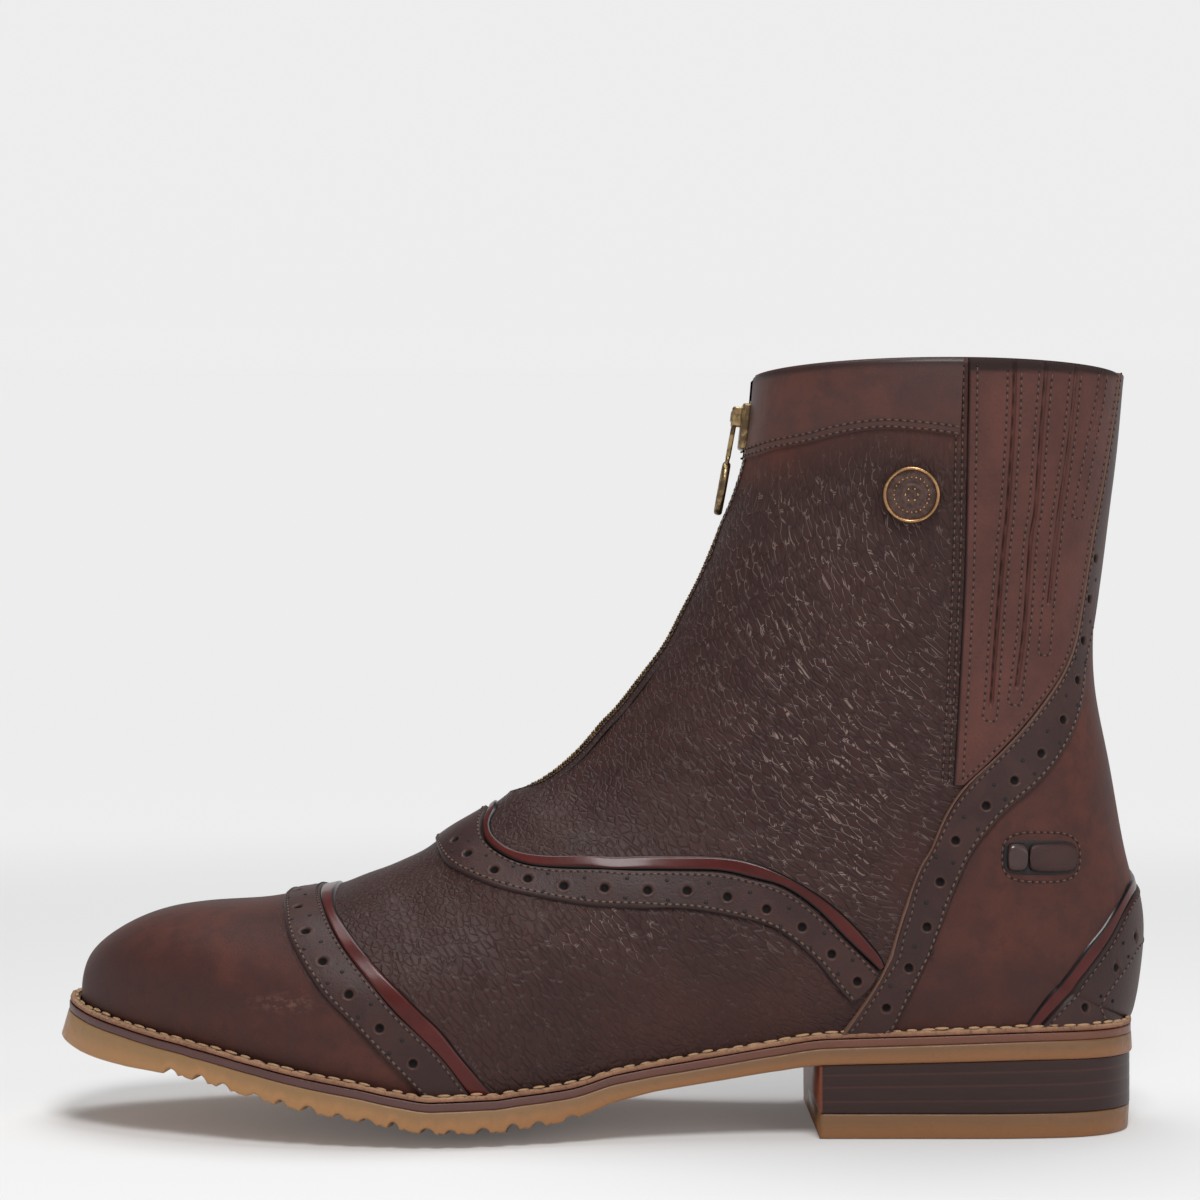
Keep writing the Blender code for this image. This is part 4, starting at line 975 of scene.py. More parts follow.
def welt_leather():
    """Tan welt, rough at its edge."""
    material, g, shader = new_material("welt_leather")
    place = g.place()
    cloud = g.use(MOTTLE, Vector=place, Scale=90.0)
    side = g.mix(cloud["Cloud"], (0.20, 0.075, 0.038), (0.30, 0.125, 0.065))
    top = g.mix(cloud["Cloud"], (0.29, 0.165, 0.092), (0.42, 0.26, 0.155))
    colour = g.mix(g.field("top"), side, top)
    pits = g.noise(place, 900.0, 5.0, 0.7)
    colour = g.mix(g.step(pits, 0.50, 0.70, 0.0, 0.7), colour, (0.090, 0.036, 0.018))
    g.surface(shader, colour, pits, 0.0006, 0.68)
    return material


def midsole_leather():
    """Leather layer with a painted edge, purple-brown in front and redder behind."""
    material, g, shader = new_material("midsole_leather")
    place = g.place()
    ahead = g.add("ShaderNodeSeparateXYZ", {0: place}).outputs["X"]
    share = g.step(ahead, -0.06, 0.08)
    cloud = g.noise(place, 120.0, 4.0)
    front = g.mix(cloud, (0.060, 0.022, 0.020), (0.095, 0.036, 0.030))
    back = g.mix(cloud, (0.105, 0.032, 0.016), (0.15, 0.050, 0.024))
    g.surface(shader, g.mix(share, front, back), g.noise(place, 800.0, 4.0), 0.00016, 0.42)
    return material


def heel_leather():
    """Stacked leather under dark dressing, with thin reddish lines between lifts."""
    material, g, shader = new_material("heel_leather")
    place = g.place()
    parts = g.add("ShaderNodeSeparateXYZ", {0: place})
    line = g.field("stack")
    streak = g.noise(g.stretched(place, (0.06, 0.06, 1.0)), 1500.0, 4.0)
    colour = g.mix(streak, (0.0231, 0.0100, 0.0091), (0.0315, 0.0128, 0.0112))
    colour = g.mix(g.step(line, 0.0, 1.0, 0.0, 0.30), colour, (0.0980, 0.0296, 0.0194))
    breast = g.step(parts.outputs["X"], 0.0530, 0.0536, 1.0, 0.0)
    red = g.mix(streak, (0.1540, 0.0388, 0.0205), (0.2380, 0.0684, 0.0342))
    colour = g.mix(breast, colour, red)
    g.surface(shader, colour, streak, 0.00005, 0.42)
    shader.inputs["Specular IOR Level"].default_value = 0.3
    return material


def lining_cloth():
    material, g, shader = new_material("lining")
    place = g.place()
    weave = g.noise(place, 1400.0, 3.0)
    g.surface(shader, g.mix(weave, (0.060, 0.036, 0.026), (0.10, 0.062, 0.046)), weave, 0.0002, 0.85)
    return material


def insole_leather():
    material, g, shader = new_material("insole_leather")
    place = g.place()
    cloud = g.use(MOTTLE, Vector=place, Scale=50.0)
    g.surface(shader, g.mix(cloud["Cloud"], (0.25, 0.15, 0.085), (0.38, 0.25, 0.15)),
              g.noise(place, 900.0, 4.0), 0.0002, 0.7)
    return material


def zip_cloth():
    material, g, shader = new_material("zip_cloth")
    place = g.place()
    weave = g.cells(g.stretched(place, (1.0, 1.4, 0.6)), 1800.0)
    g.surface(shader, g.mix(weave, (0.008, 0.006, 0.006), (0.030, 0.021, 0.019)), weave, 0.0002, 0.85)
    return material


def antique_metal(name, bright, dull, rough):
    """Brass or bronze, darkened where it isn't rubbed."""
    material, g, shader = new_material(name)
    place = g.place()
    cloud = g.noise(place, 420.0, 5.0, 0.65)
    rub = g.step(cloud, 0.42, 0.62)
    g.feed(shader.inputs["Base Color"], g.mix(rub, dull, bright))
    g.feed(shader.inputs["Roughness"], g.step(cloud, 0.3, 0.7, rough + 0.15, rough))
    g.feed(shader.inputs["Normal"], g.bump(cloud, 0.00008))
    shader.inputs["Metallic"].default_value = 1.0
    return material


def coated(material, name, weight, rough):
    """A leather under its own name, with a clear coat."""
    material.name = name
    inputs = material.node_tree.nodes["Principled BSDF"].inputs
    inputs["Coat Weight"].default_value = weight
    inputs["Coat Roughness"].default_value = rough
    return material


LEATHER = upper_leather()
COLLAR_LEATHER = coated(upper_leather(), "collar_leather", 0.30, 0.32)
BAND = band_leather()
KNOB = coated(band_leather(), "spur_knob", 0.5, 0.03)
PATENT = patent_leather()
GUSSET = gusset_leather()
TAN_THREAD = thread("tan_thread", (0.085, 0.046, 0.031), (0.150, 0.088, 0.060))
DARK_THREAD = thread("dark_thread", (0.075, 0.036, 0.025), (0.140, 0.070, 0.048))
WELT_THREAD = thread("welt_thread", (0.30, 0.175, 0.088), (0.46, 0.29, 0.16))
CUT_EDGE = thread("cut_edge", (0.085, 0.036, 0.022), (0.15, 0.072, 0.047))
# Near-black painted shade for the small holes, the needle holes and the spur rests' recesses
PAINTED_SHADE = thread("punched", (0.0030, 0.0016, 0.0014), (0.0060, 0.0032, 0.0028))
GUM_RUBBER = gum_rubber()
WELT_LEATHER = welt_leather()
MIDSOLE_LEATHER = midsole_leather()
HEEL_LEATHER = heel_leather()
LINING = lining_cloth()
INSOLE_LEATHER = insole_leather()
ZIP_CLOTH = zip_cloth()
BRASS = antique_metal("antique_brass", (0.38, 0.26, 0.13), (0.12, 0.080, 0.045), 0.26)
BRONZE = antique_metal("dark_bronze", (0.120, 0.075, 0.065), (0.075, 0.048, 0.042), 0.40)
COPPER = antique_metal("copper_rim", (0.50, 0.29, 0.14), (0.34, 0.19, 0.09), 0.22)


def pixel_of(point):
    """Pixel of a point, its inner side read as the outer one."""
    depth = CAMERA_AT.y * -1 - abs(point.y)
    return (
        PHOTO_MIDDLE + (point.x - CAMERA_AT.x) * FOCAL_PX / depth,
        PHOTO_MIDDLE - (point.z - CAMERA_AT.z) * FOCAL_PX / depth,
    )


def side_of(line, x, y):
    """Signed distance of a pixel from a pixel line."""
    best = 1e9
    sign = 1.0
    for (ax, ay), (bx, by) in zip(line, line[1:]):
        dx = bx - ax
        dy = by - ay
        share = clamped(((x - ax) * dx + (y - ay) * dy) / (dx * dx + dy * dy))
        ox = x - ax - share * dx
        oy = y - ay - share * dy
        away = math.hypot(ox, oy)
        if away < best:
            best = away
            sign = 1.0 if dx * (y - ay) - dy * (x - ax) > 0 else -1.0
    return best * sign


def spot(x, y, middle, reach, weight):
    """Weight of a soft oval spot of the photo at a pixel."""
    return weight * math.exp(-((x - middle[0]) / reach[0]) ** 2 - ((y - middle[1]) / reach[1]) ** 2)


SMOOTH_SPOTS = (((730, 1015), (130, 48), 0.45), ((912, 880), (26, 60), 0.70))
# Broad patches of painted shade on the lower vamp and the back of the shaft
SHADE_SPOTS = (((660, 1010), (150, 60), 0.26), ((925, 730), (40, 130), 0.24))


def build_skin():
    """The upper's outer leather, with its cut edges at the zip and the collar."""
    builder = SKIN.builder
    row_layer, girth_layer, _ = SKIN.layers
    smooth = builder.verts.layers.float.new("smooth")
    dark = builder.verts.layers.float.new("dark")
    scuff = builder.verts.layers.float.new("scuff")
    toe_line = ((300, 800),) + TOE_FRONT + ((440, 1130),)
    back_line = ((1130, 300),) + BACK_FRONT + ((830, 1060),)
    collar_line = ((700, 470),) + COLLAR_SEAM + ((1140, 445),)
    for vert in builder.verts:
        x, y = pixel_of(vert.co)
        toe = side_of(toe_line, x, y)
        back = side_of(back_line, x, y)
        value = 0.0
        if x < 520:
            value = max(value, clamped((toe + 6) / 12))
        if x > 800 and y > 700:
            value = max(value, clamped((-back - 6) / 12))
        if x > 1060:
            value = max(value, clamped((-back + 2) / 12))
        if y < 520 and x < 975:
            under = side_of(collar_line, x, y)
            value = max(value, clamped((36 - under) / 34) * (1.0 if x < 850 else 0.7))
        vert[smooth] = max([value] + [spot(x, y, *each) for each in SMOOTH_SPOTS])
        # painted shade along the foot of the upper, fading out a few millimetres above the welt
        rise = vert.co.z - bed(min(max(vert.co.x, along(0.98)), along(0.015)), 0.0)
        vert[dark] = 0.55 * math.exp(-max(rise, 0.0) / 0.004) if vert.co.z < 0.06 else 0.0
        # less of that painted shade near the heel
        if x > 940 and y > 800:
            vert[dark] = vert[dark] * 0.7
        for each in SHADE_SPOTS:
            vert[dark] += spot(x, y, *each)
        away = math.hypot((x - 284) / 26, (y - 1003) / 7)
        vert[scuff] = math.exp(-away * away) if vert.co.y < 0 else 0.0
    edges = []
    for edge in builder.edges:
        if not edge.is_boundary:
            continue
        low = min(vert[row_layer] for vert in edge.verts)
        beside = max(vert[girth_layer] for vert in edge.verts) < 0.5 / SKIN_COLUMNS
        if low >= THROAT_ROW - 0.01 and (beside or low > LAST_ROW - 0.01):
            edges.append(edge)
    inward = {vert: vert.normal.copy() for edge in edges for vert in edge.verts}
    for share in (0.15, 0.85):
        grown = bmesh.ops.extrude_edge_only(builder, edges=edges)["geom"]
        fresh = [item for item in grown if isinstance(item, bmesh.types.BMVert)]
        edges = [item for item in grown if isinstance(item, bmesh.types.BMEdge) and item.is_boundary]
        for vert in fresh:
            source = min(inward, key=lambda v: (v.co - vert.co).length_squared)
            vert.co -= inward[source] * WALL * share
            vert[dark] = 0.9
        inward = {vert: inward[min(inward, key=lambda v: (v.co - vert.co).length_squared)] for vert in fresh}
    mesh_object("upper_skin", builder.copy(), LEATHER, ("upper",))


def build_lining():
    """Lining of the shaft and the vamp, just inside the wall."""
    builder = bmesh.new()
    columns = 36
    rows = 100
    for side in (-1, 1):
        grid = bmesh.ops.create_grid(builder, x_segments=columns, y_segments=rows, size=1.0)["verts"]
        for vert in grid:
            girth = max((vert.co.x + 1) / 2, 1e-6)
            t = 0.6 + (LAST_ROW - 0.6) * (vert.co.y + 1) / 2
            point, normal = SKIN.at(t, side * girth)
            vert.co = point - normal * WALL
    joined = list(builder.verts)
    bmesh.ops.remove_doubles(builder, verts=joined, dist=2e-4)
    bmesh.ops.recalc_face_normals(builder, faces=builder.faces)
    bmesh.ops.reverse_faces(builder, faces=builder.faces)
    mesh_object("lining", builder, LINING)


OVERLAY = 0.0010
PIPING = 0.0007


class Marks:
    """Holes or lines that press into a piece, found by nearness."""

    def __init__(self, marks):
        self.marks = marks
        self.tree = KDTree(len(marks))
        for index, mark in enumerate(marks):
            self.tree.insert(mark[0], index)
        self.tree.balance()

    def nearest(self, point):
        """Distance as a share of the nearest mark's radius, and its depth."""
        best = (9.0, 0.0)
        for _, index, distance in self.tree.find_n(point, 3):
            share = distance / self.marks[index][1]
            if share < best[0]:
                best = (share, self.marks[index][2])
        return best


def strip(name, low, high, thickness, spacing, across, material, nodes=(),
          holes=None, grooves=None, edge=0.0007, extra=None, ends=(False, False)):
    """Band that lies on the skin between two lines, with rounded edges."""
    builder = bmesh.new()
    rim = builder.verts.layers.float.new("rim")
    hole = builder.verts.layers.float.new("hole")
    rows = max(int(max(low.length, high.length) / spacing), 4)
    bmesh.ops.create_grid(builder, x_segments=across, y_segments=rows, size=1.0)
    samples = {}
    for vert in builder.verts:
        v = (vert.co.x + 1) / 2
        s = (vert.co.y + 1) / 2
        key = round(s * rows)
        if key not in samples:
            a = low.place(s)
            b = high.place(s)
            samples[key] = (a, b, (SKIN.at(*a)[0] - SKIN.at(*b)[0]).length)
        a, b, width = samples[key]
        t = a[0] + (b[0] - a[0]) * v
        u = a[1] + (b[1] - a[1]) * v
        point, normal = SKIN.at(t, u if abs(u) > 1e-9 else -1e-9)
        if point.x > 0.09 and point.z < 0.035:
            normal.z *= clamped((point.z - 0.030) / 0.005)
            normal.normalize()
        inside = min(v, 1 - v) * width
        if ends[0]:
            inside = min(inside, s * low.length)
        if ends[1]:
            inside = min(inside, (1 - s) * low.length)
        rise = thickness * math.sqrt(max(1 - (1 - min(inside / edge, 1.0)) ** 2, 0.0)) if edge else thickness
        vert[rim] = inside
        vert[hole] = 9.0
        if holes:
            share, depth = holes.nearest(point)
            vert[hole] = share
            rise -= depth * (1 - clamped((share - 0.55) / 0.6)) ** 1.5
            rise += 0.10 * depth * math.exp(-((share - 1.35) / 0.25) ** 2)
        if grooves:
            share, depth = grooves.nearest(point)
            rise -= depth * (math.exp(-share * share) - 0.25 * math.exp(-((share - 2.3) / 0.8) ** 2))
        if extra:
            rise += extra(point, v, s)
        if inside <= 1e-7:
            rise = -0.0002
        vert.co = point + normal * rise
    bmesh.ops.recalc_face_normals(builder, faces=builder.faces)
    turn_outwards(builder)
    return mesh_object(name, builder, material, nodes)


def turn_outwards(builder):
    """Faces away from the skin's inside."""
    builder.normal_update()
    face = max(builder.faces, key=lambda f: f.calc_area())
    near = SKIN.tree.find_nearest(face.calc_center_median())
    if near[1] is not None and face.normal.dot(near[1]) < 0:
        bmesh.ops.reverse_faces(builder, faces=builder.faces)


def nearest_share(path, goal):
    """Share of a path at which it passes nearest to a point."""
    shares = [k / SHARE_STEPS for k in range(SHARE_STEPS + 1)]
    return min(shares, key=lambda share: (SKIN.at(*path.place(share))[0] - goal).length)


def hole_marks(pixels, apart):
    """Big holes at pixels and pairs of small ones between them, on both sides."""
    places = exact_places(pixels)
    marks = []
    for side_places in (places, mirrored(places)):
        path = Path(side_places)
        shares = [nearest_share(path, SKIN.at(*place)[0]) for place in side_places]
        for share in shares:
            marks.append((SKIN.at(*path.place(share))[0], BIG_HOLE, HOLE_DEPTH))
        for first, second in zip(shares, shares[1:]):
            middle = (first + second) / 2
            point, normal, direction = path.at(middle)
            sideways = normal.cross(direction)
            for away in (-apart, apart):
                target, outward, _, _ = SKIN.tree.find_nearest(point + sideways * away)
                # each small hole is a dark dot of painted shade
                SHADE_DOTS.add(turned(target + outward * OVERLAY, direction, outward) @ SMALL_HOLE)
    return marks


class Pile:
    """Many turned copies of one small shape, gathered into one piece."""

    def __init__(self, template):
        self.mesh = bpy.data.meshes.new("template")
        template.to_mesh(self.mesh)
        template.free()
        self.corners = [vert.co.copy() for vert in self.mesh.vertices]
        self.whole = bmesh.new()

    def add(self, matrix):
        flat = []
        for corner in self.corners:
            flat.extend(matrix @ corner)
        self.mesh.vertices.foreach_set("co", flat)
        self.whole.from_mesh(self.mesh)


def capsule(segments=6, rings=4):
    builder = bmesh.new()
    bmesh.ops.create_uvsphere(builder, u_segments=segments, v_segments=rings, radius=1.0)
    return builder


def frame_of(x_axis, y_axis, z_axis, place):
    matrix = Matrix((x_axis, y_axis, z_axis)).transposed().to_4x4()
    matrix.translation = place
    return matrix


def turned(point, heading, normal):
    """Frame at a point with its x along a heading and its z along a normal."""
    return frame_of(heading, normal.cross(heading), normal, point)


TAN = Pile(capsule())
DARK = Pile(capsule())
# Dark dots of painted shade for the small holes and the needle holes
SHADE_DOTS = Pile(capsule(8, 4))
SHARE_STEPS = 400
BIG_HOLE = 0.00115
HOLE_DEPTH = 0.0009
SMALL_HOLE = Matrix.Diagonal((0.00050, 0.00050, 0.00024, 1.0))
NEEDLE_HOLE = Matrix.Diagonal((0.00032, 0.00032, 0.00024, 1.0))
STITCH = 0.00175
THREAD_LONG = 0.00115


def sewn(pile, path, radius, lift):
    """Row of stitches along a line, each between two needle holes."""
    count = max(int(path.length / STITCH), 1)
    stretch = Matrix.Diagonal((THREAD_LONG / 2, radius, radius * 0.7, 1.0))
    shape = stretch @ Matrix.Rotation(math.pi / 2, 4, "Y")
    for k in range(count):
        share = (k + 0.5) / count
        point, normal, direction = path.at(share)
        pile.add(turned(point + normal * lift, direction, normal) @ shape)
        # a dark dot of painted shade at each needle hole
        point, normal, direction = path.at(share - 0.5 / count)
        SHADE_DOTS.add(turned(point, direction, normal) @ NEEDLE_HOLE)


def offset_path(path, away, lift=0.0, count=60, start=0.0):
    """Line beside another one on the skin, by a distance to its left."""
    places = []
    for k in range(count + 1):
        share = start + (1.0 - start) * k / count
        point, normal, direction = path.at(share)
        goal = point + normal.cross(direction) * away
        places.append(nearest_place(goal, path.place(share)))
    return Path(places, lift)


def nearest_place(goal, guess):
    """Place on the skin whose point is nearest to a goal, by a short descent from a guess."""
    t, u = guess
    step_t = 0.05
    step_u = 0.004
    for _ in range(12):
        here, _ = SKIN.at(t, u)
        gt = (SKIN.at(t + step_t, u)[0] - SKIN.at(t - step_t, u)[0]) / (2 * step_t)
        side = -1 if guess[1] <= 0 else 1
        high = side * min(abs(u) + step_u, 1.0)
        low = side * max(abs(u) - step_u, 0.0)
        if high == low:
            break
        gu = (SKIN.at(t, high or side * 1e-9)[0] - SKIN.at(t, low or side * 1e-9)[0]) / (high - low)
        miss = goal - here
        a = gt.dot(gt)
        b = gt.dot(gu)
        c = gu.dot(gu)
        p = gt.dot(miss)
        q = gu.dot(miss)
        det = a * c - b * b
        if abs(det) < 1e-18:
            break
        t = min(max(t + (c * p - b * q) / det, 0.0), LAST_ROW)
        u = u + (a * q - b * p) / det
        u = side * min(max(side * u, 1e-6), 1.0)
        if miss.length < 1e-5:
            break
    return t, u


SIDES = (("outer", 1), ("inner", -1))


def sided(places, turn, lift=0.0):
    """A line of the outer side, or its mirror image when the turn is -1."""
    return Path(places if turn > 0 else mirrored(places), lift)


def from_top(places):
    """The same line, begun at the collar's edge."""
    return [(LAST_ROW, places[0][1])] + places[1:]


def point_values(item, name, values):
    """Field of a piece that its material reads."""
    item.data.attributes.new(name, "FLOAT", "POINT").data.foreach_set("value", values)


def build_toe_band():
    front = Path(over_crest(to_base(photo_places(TOE_FRONT))))
    rear = Path(over_crest(to_base(photo_places(TOE_REAR))))
    piped = Path(over_crest(to_base(photo_places(TOE_PIPED))))
    holes = Marks(hole_marks(TOE_HOLES, 0.0021))
    strip("toe_piping_skin", offset_path(rear, 0.0006), piped, PIPING, 0.0008, 8, PATENT,
          ("toe_piping",), edge=0.0009)
    strip("toe_band_skin", front, rear, OVERLAY, 0.00036, 26, BAND, ("toe_band",), holes)
    sewn(TAN, offset_path(front, -0.0011, OVERLAY), 0.00026, 0.00002)
    sewn(DARK, offset_path(rear, 0.0010, OVERLAY), 0.00022, 0.0)


def build_wing_band():
    low = Path(over_crest(photo_places(WING_LOW)))
    high = Path(over_crest(photo_places(WING_HIGH)))
    piped = Path(over_crest(photo_places(WING_PIPED)))
    holes = Marks(hole_marks(WING_HOLES, 0.0024))
    strip("wing_piping_skin", high, piped, PIPING, 0.0008, 8, PATENT,
          ("wing_piping_outer", "wing_piping_inner"), edge=0.0009)
    strip("wing_band_skin", low, high, OVERLAY, 0.00036, 28, BAND, ("wing_band",), holes)
    sewn(TAN, offset_path(low, -0.0012, OVERLAY), 0.00026, 0.00002)
    sewn(DARK, offset_path(high, 0.0010, OVERLAY), 0.00022, 0.0)


def build_back_bands():
    front_places = from_top(to_base(photo_places(BACK_FRONT)))
    rear_places = to_base(photo_places(BACK_REAR))
    rear_places = [(LAST_ROW, -0.9995), (24.2, -0.9995), (23.4, -0.9995), (22.6, -0.995)] + rear_places
    holes = Marks(hole_marks(BACK_HOLES, 0.0022))
    for side, turn in SIDES:
        front = sided(front_places, turn)
        rear = sided(rear_places, turn)
        strip("back_band_skin_" + side, front, rear, OVERLAY, 0.00040, 26, BAND,
              ("back_band_" + side,), holes)
        beside = offset_path(front, turn * 0.0006, count=120)
        strip("cut_edge_" + side, front, beside, OVERLAY + 0.00008, 0.0006, 4, CUT_EDGE, edge=0.0003)
        sewn(DARK, offset_path(front, turn * 0.0011, OVERLAY), 0.00023, 0.0)
        sewn(TAN, offset_path(rear, -turn * 0.0011, OVERLAY, start=0.35), 0.00026, 0.0)


def build_heel_band():
    """Pointed band at the foot of the back, under its patent strip."""
    for side, turn in SIDES:
        lines = []
        for pixels in (HEEL_PIPED, HEEL_HIGH, HEEL_LOW):
            places = [place for place in to_base(photo_places(pixels)) if place[1] > -0.99 or place[0] < 15.9]
            start = places[0][0] + (places[0][0] - places[3][0]) * 0.6
            places = [(start, -0.9995)] + places
            lines.append(sided(places, turn))
        piped, high, low = lines
        back = [(high.places[0][0] + (15.95 - high.places[0][0]) * k / 20, -0.9999) for k in range(21)]
        foot = [(16.0 + (high.places[-1][0] - 16.0) * k / 30, -1.0) for k in range(31)]
        edge = Path([(abs(t), u * turn) for t, u in back[:-1] + foot])
        holes = Marks(hole_marks(HEEL_HOLES, 0.0022))
        strip("heel_piping_skin_" + side, piped, high, PIPING, 0.0008, 8, PATENT,
              ("heel_piping",) if side == "outer" else (), edge=0.0009)
        strip("heel_band_skin_" + side, high, edge, OVERLAY, 0.00040, 34, BAND,
              ("heel_band",) if side == "outer" else (), holes)
        sewn(TAN, offset_path(low, -turn * 0.0010, OVERLAY), 0.00025, 0.0)
        sewn(DARK, offset_path(high, turn * 0.0010, OVERLAY), 0.00022, 0.0)


SLIT_STEP = 0.0004
SLIT_WIDTH = 0.00036
SLIT_DEPTH = 0.0009


def build_gussets():
    """Pleated panels: slits between stitched folds, under a dark folded top edge."""
    front_places = from_top(photo_places(GUSSET_FRONT))
    rear_places = from_top(photo_places(BACK_FRONT[:12]))
    slit_places = []
    row_places = []
    for pixels, end in zip(SLITS, SLIT_ENDS):
        slit_places.append(from_top(photo_places(pixels)))
        row_places.append(from_top(photo_places(pixels + (end,))))
    for side, turn in SIDES:
        marks = []
        for places in slit_places:
            path = sided(places, turn)
            for k in range(int(path.length / SLIT_STEP)):
                share = k * SLIT_STEP / path.length
                marks.append((SKIN.at(*path.place(share))[0], SLIT_WIDTH, SLIT_DEPTH))
        for places in row_places:
            path = sided(places, turn)
            left = offset_path(path, -0.0017, start=0.035)
            right = offset_path(path, 0.0017, start=0.035)
            sewn(DARK, Path(left.places + right.places[::-1], 0.0009), 0.00022, 0.00002)
        slits = Marks(marks)
        front = sided(front_places, turn)
        rear = sided(rear_places, turn)
        item = strip("gusset_skin_" + side, front, rear, 0.0009, 0.0008, 180, GUSSET,
                     ("gusset_" + side,), None, slits, ends=(True, False))
        mark_gusset(item, slits)
        for away in (-0.0010, -0.0026):
            beside = offset_path(front, turn * away, 0.0002, start=0.02)
            sewn(DARK, beside, 0.00021, 0.0)
        sewn(DARK, offset_path(front, turn * 0.0022, 0.0009, start=0.02), 0.00021, 0.0)
        sewn(DARK, offset_path(rear, -turn * 0.0013, 0.0009, start=0.02), 0.00021, 0.0)


def mark_gusset(item, slits):
    """Fields for the painted shade in the slits' gaps and the folded top edge."""
    verts = item.data.vertices
    fold = SKIN.at(LAST_ROW, -0.75)[0].z - 0.0026
    point_values(item, "slit", [slits.nearest(vert.co)[0] * SLIT_WIDTH for vert in verts])
    point_values(item, "dark", [clamped((vert.co.z - fold) / 0.0008) for vert in verts])


def build_collar():
    """Smooth strip round the front of the collar, sewn on with two rows."""
    seam_places = photo_places(COLLAR_SEAM)
    seam_places[0] = (seam_places[0][0], -0.004)
    top_places = [(LAST_ROW, place[1]) for place in seam_places]
    for side, turn in SIDES:
        seam = sided(seam_places, turn)
        top = sided(top_places, turn)
        item = strip("collar_skin_" + side, seam, top, 0.0006, 0.0010, 26, COLLAR_LEATHER,
                     ("collar_band_" + side,), edge=0.0008,
                     extra=lambda point, v, s: 0.0009 * math.sin(math.pi * v) * min(s * 6, 1.0))
        point_values(item, "smooth", [1.0] * len(item.data.vertices))
        heights = [SKIN.at(LAST_ROW, top.place(k / 20)[1])[0] for k in range(21)]
        dark = []
        for vert in item.data.vertices:
            edge = min(heights, key=lambda place: (place.x - vert.co.x) ** 2 + (place.y - vert.co.y) ** 2)
            dark.append(clamped((vert.co.z - edge.z + 0.0024) / 0.0008))
        point_values(item, "dark", dark)
        for away, rise in ((0.0008, 0.00075), (0.0024, 0.00105)):
            sewn(DARK, offset_path(seam, turn * away, rise), 0.00022, 0.00004)


def edge_point(t, side, extra):
    here, normal = edge_frame(t, side)
    return here + normal * (welt_reach(here.x) + extra)


def sole_loft(name, start, end, rows, ring, material, nodes, shift=None):
    """Closed body of the sole: ring lists (v, margin, height function, rise, tone, stack) round a section."""
    builder = bmesh.new()
    height_layer = builder.verts.layers.float.new("height")
    stack_layer = builder.verts.layers.float.new("stack")
    count = len(ring)
    bmesh.ops.create_grid(builder, x_segments=count, y_segments=rows, size=1.0)
    for vert in builder.verts:
        j = round((vert.co.x + 1) / 2 * count) % count
        t = start + (end - start) * round((vert.co.y + 1) / 2 * rows) / rows
        v, margin, height, rise, tone, stack = ring[j]
        outer = edge_point(t, -1, margin)
        inner = edge_point(t, 1, margin)
        flat = outer.lerp(inner, (v + 1) / 2)
        z = height(flat.x, flat.y) + rise
        vert.co = Vector((flat.x, flat.y, z))
        if shift:
            vert.co.x += shift(vert.co)
        vert[height_layer] = tone
        vert[stack_layer] = stack
    bmesh.ops.remove_doubles(builder, verts=builder.verts, dist=1e-6)
    holes = [edge for edge in builder.edges if edge.is_boundary]
    if holes:
        bmesh.ops.holes_fill(builder, edges=holes, sides=0)
    bmesh.ops.recalc_face_normals(builder, faces=builder.faces)
    return mesh_object(name, builder, material, nodes)


def section_ring(top, bottom, margin, under_margin, radius, middle=8):
    """Ring of a plate with rounded edges between two heights, its tone 1 above and 0 below."""
    vs = [-1 + 2 * k / middle for k in range(middle + 1)]
    wall = (
        (margin - radius * 0.3, top, -radius * 0.3, 1.0, 0.0),
        (margin, top, -radius, 1.0, 0.0),
        (under_margin, bottom, radius, 0.0, 0.0),
        (under_margin - radius * 0.3, bottom, radius * 0.3, 0.0, 0.0),
    )
    ring = [(v, margin - radius, top, 0.0, 1.0, 0.0) for v in vs]
    ring += [(1.0,) + place for place in wall]
    ring += [(v, under_margin - radius, bottom, 0.0, 0.0, 0.0) for v in reversed(vs)]
    ring += [(-1.0,) + place for place in reversed(wall)]
    return ring


TOE_LEAN = 0.0010
FIRST_LUG = along(0.890)
LAST_LUG = along(0.508)


def groove(x):
    """Depth of the grooves between lugs, a little uneven like the real ones."""
    count = int((LAST_LUG - FIRST_LUG) / LUG_PITCH)
    place = (x - FIRST_LUG) / LUG_PITCH
    k = int(math.floor(place))
    if k < 0 or k >= count:
        return 0.0
    reach = (place - k) * LUG_PITCH
    wide = 0.0034 + 0.0005 * math.sin(k * 2.9)
    start = 0.0008 + 0.0005 * math.sin(k * 2.3)
    deep = 0.68 * LUG_DEPTH * (1 + 0.22 * math.sin(k * 1.7))
    share = (reach - start) / wide
    cut = deep * math.sin(math.pi * share) ** 0.6 if 0 < share < 1 else 0.0
    nick = (reach - start - wide - 0.0012) / 0.0005
    return cut + 0.00035 * math.exp(-nick * nick)


def toe_share(x):
    """0 behind the toe, rising to 1 at its tip."""
    return clamped((share_at(x) - 0.80) / 0.20)


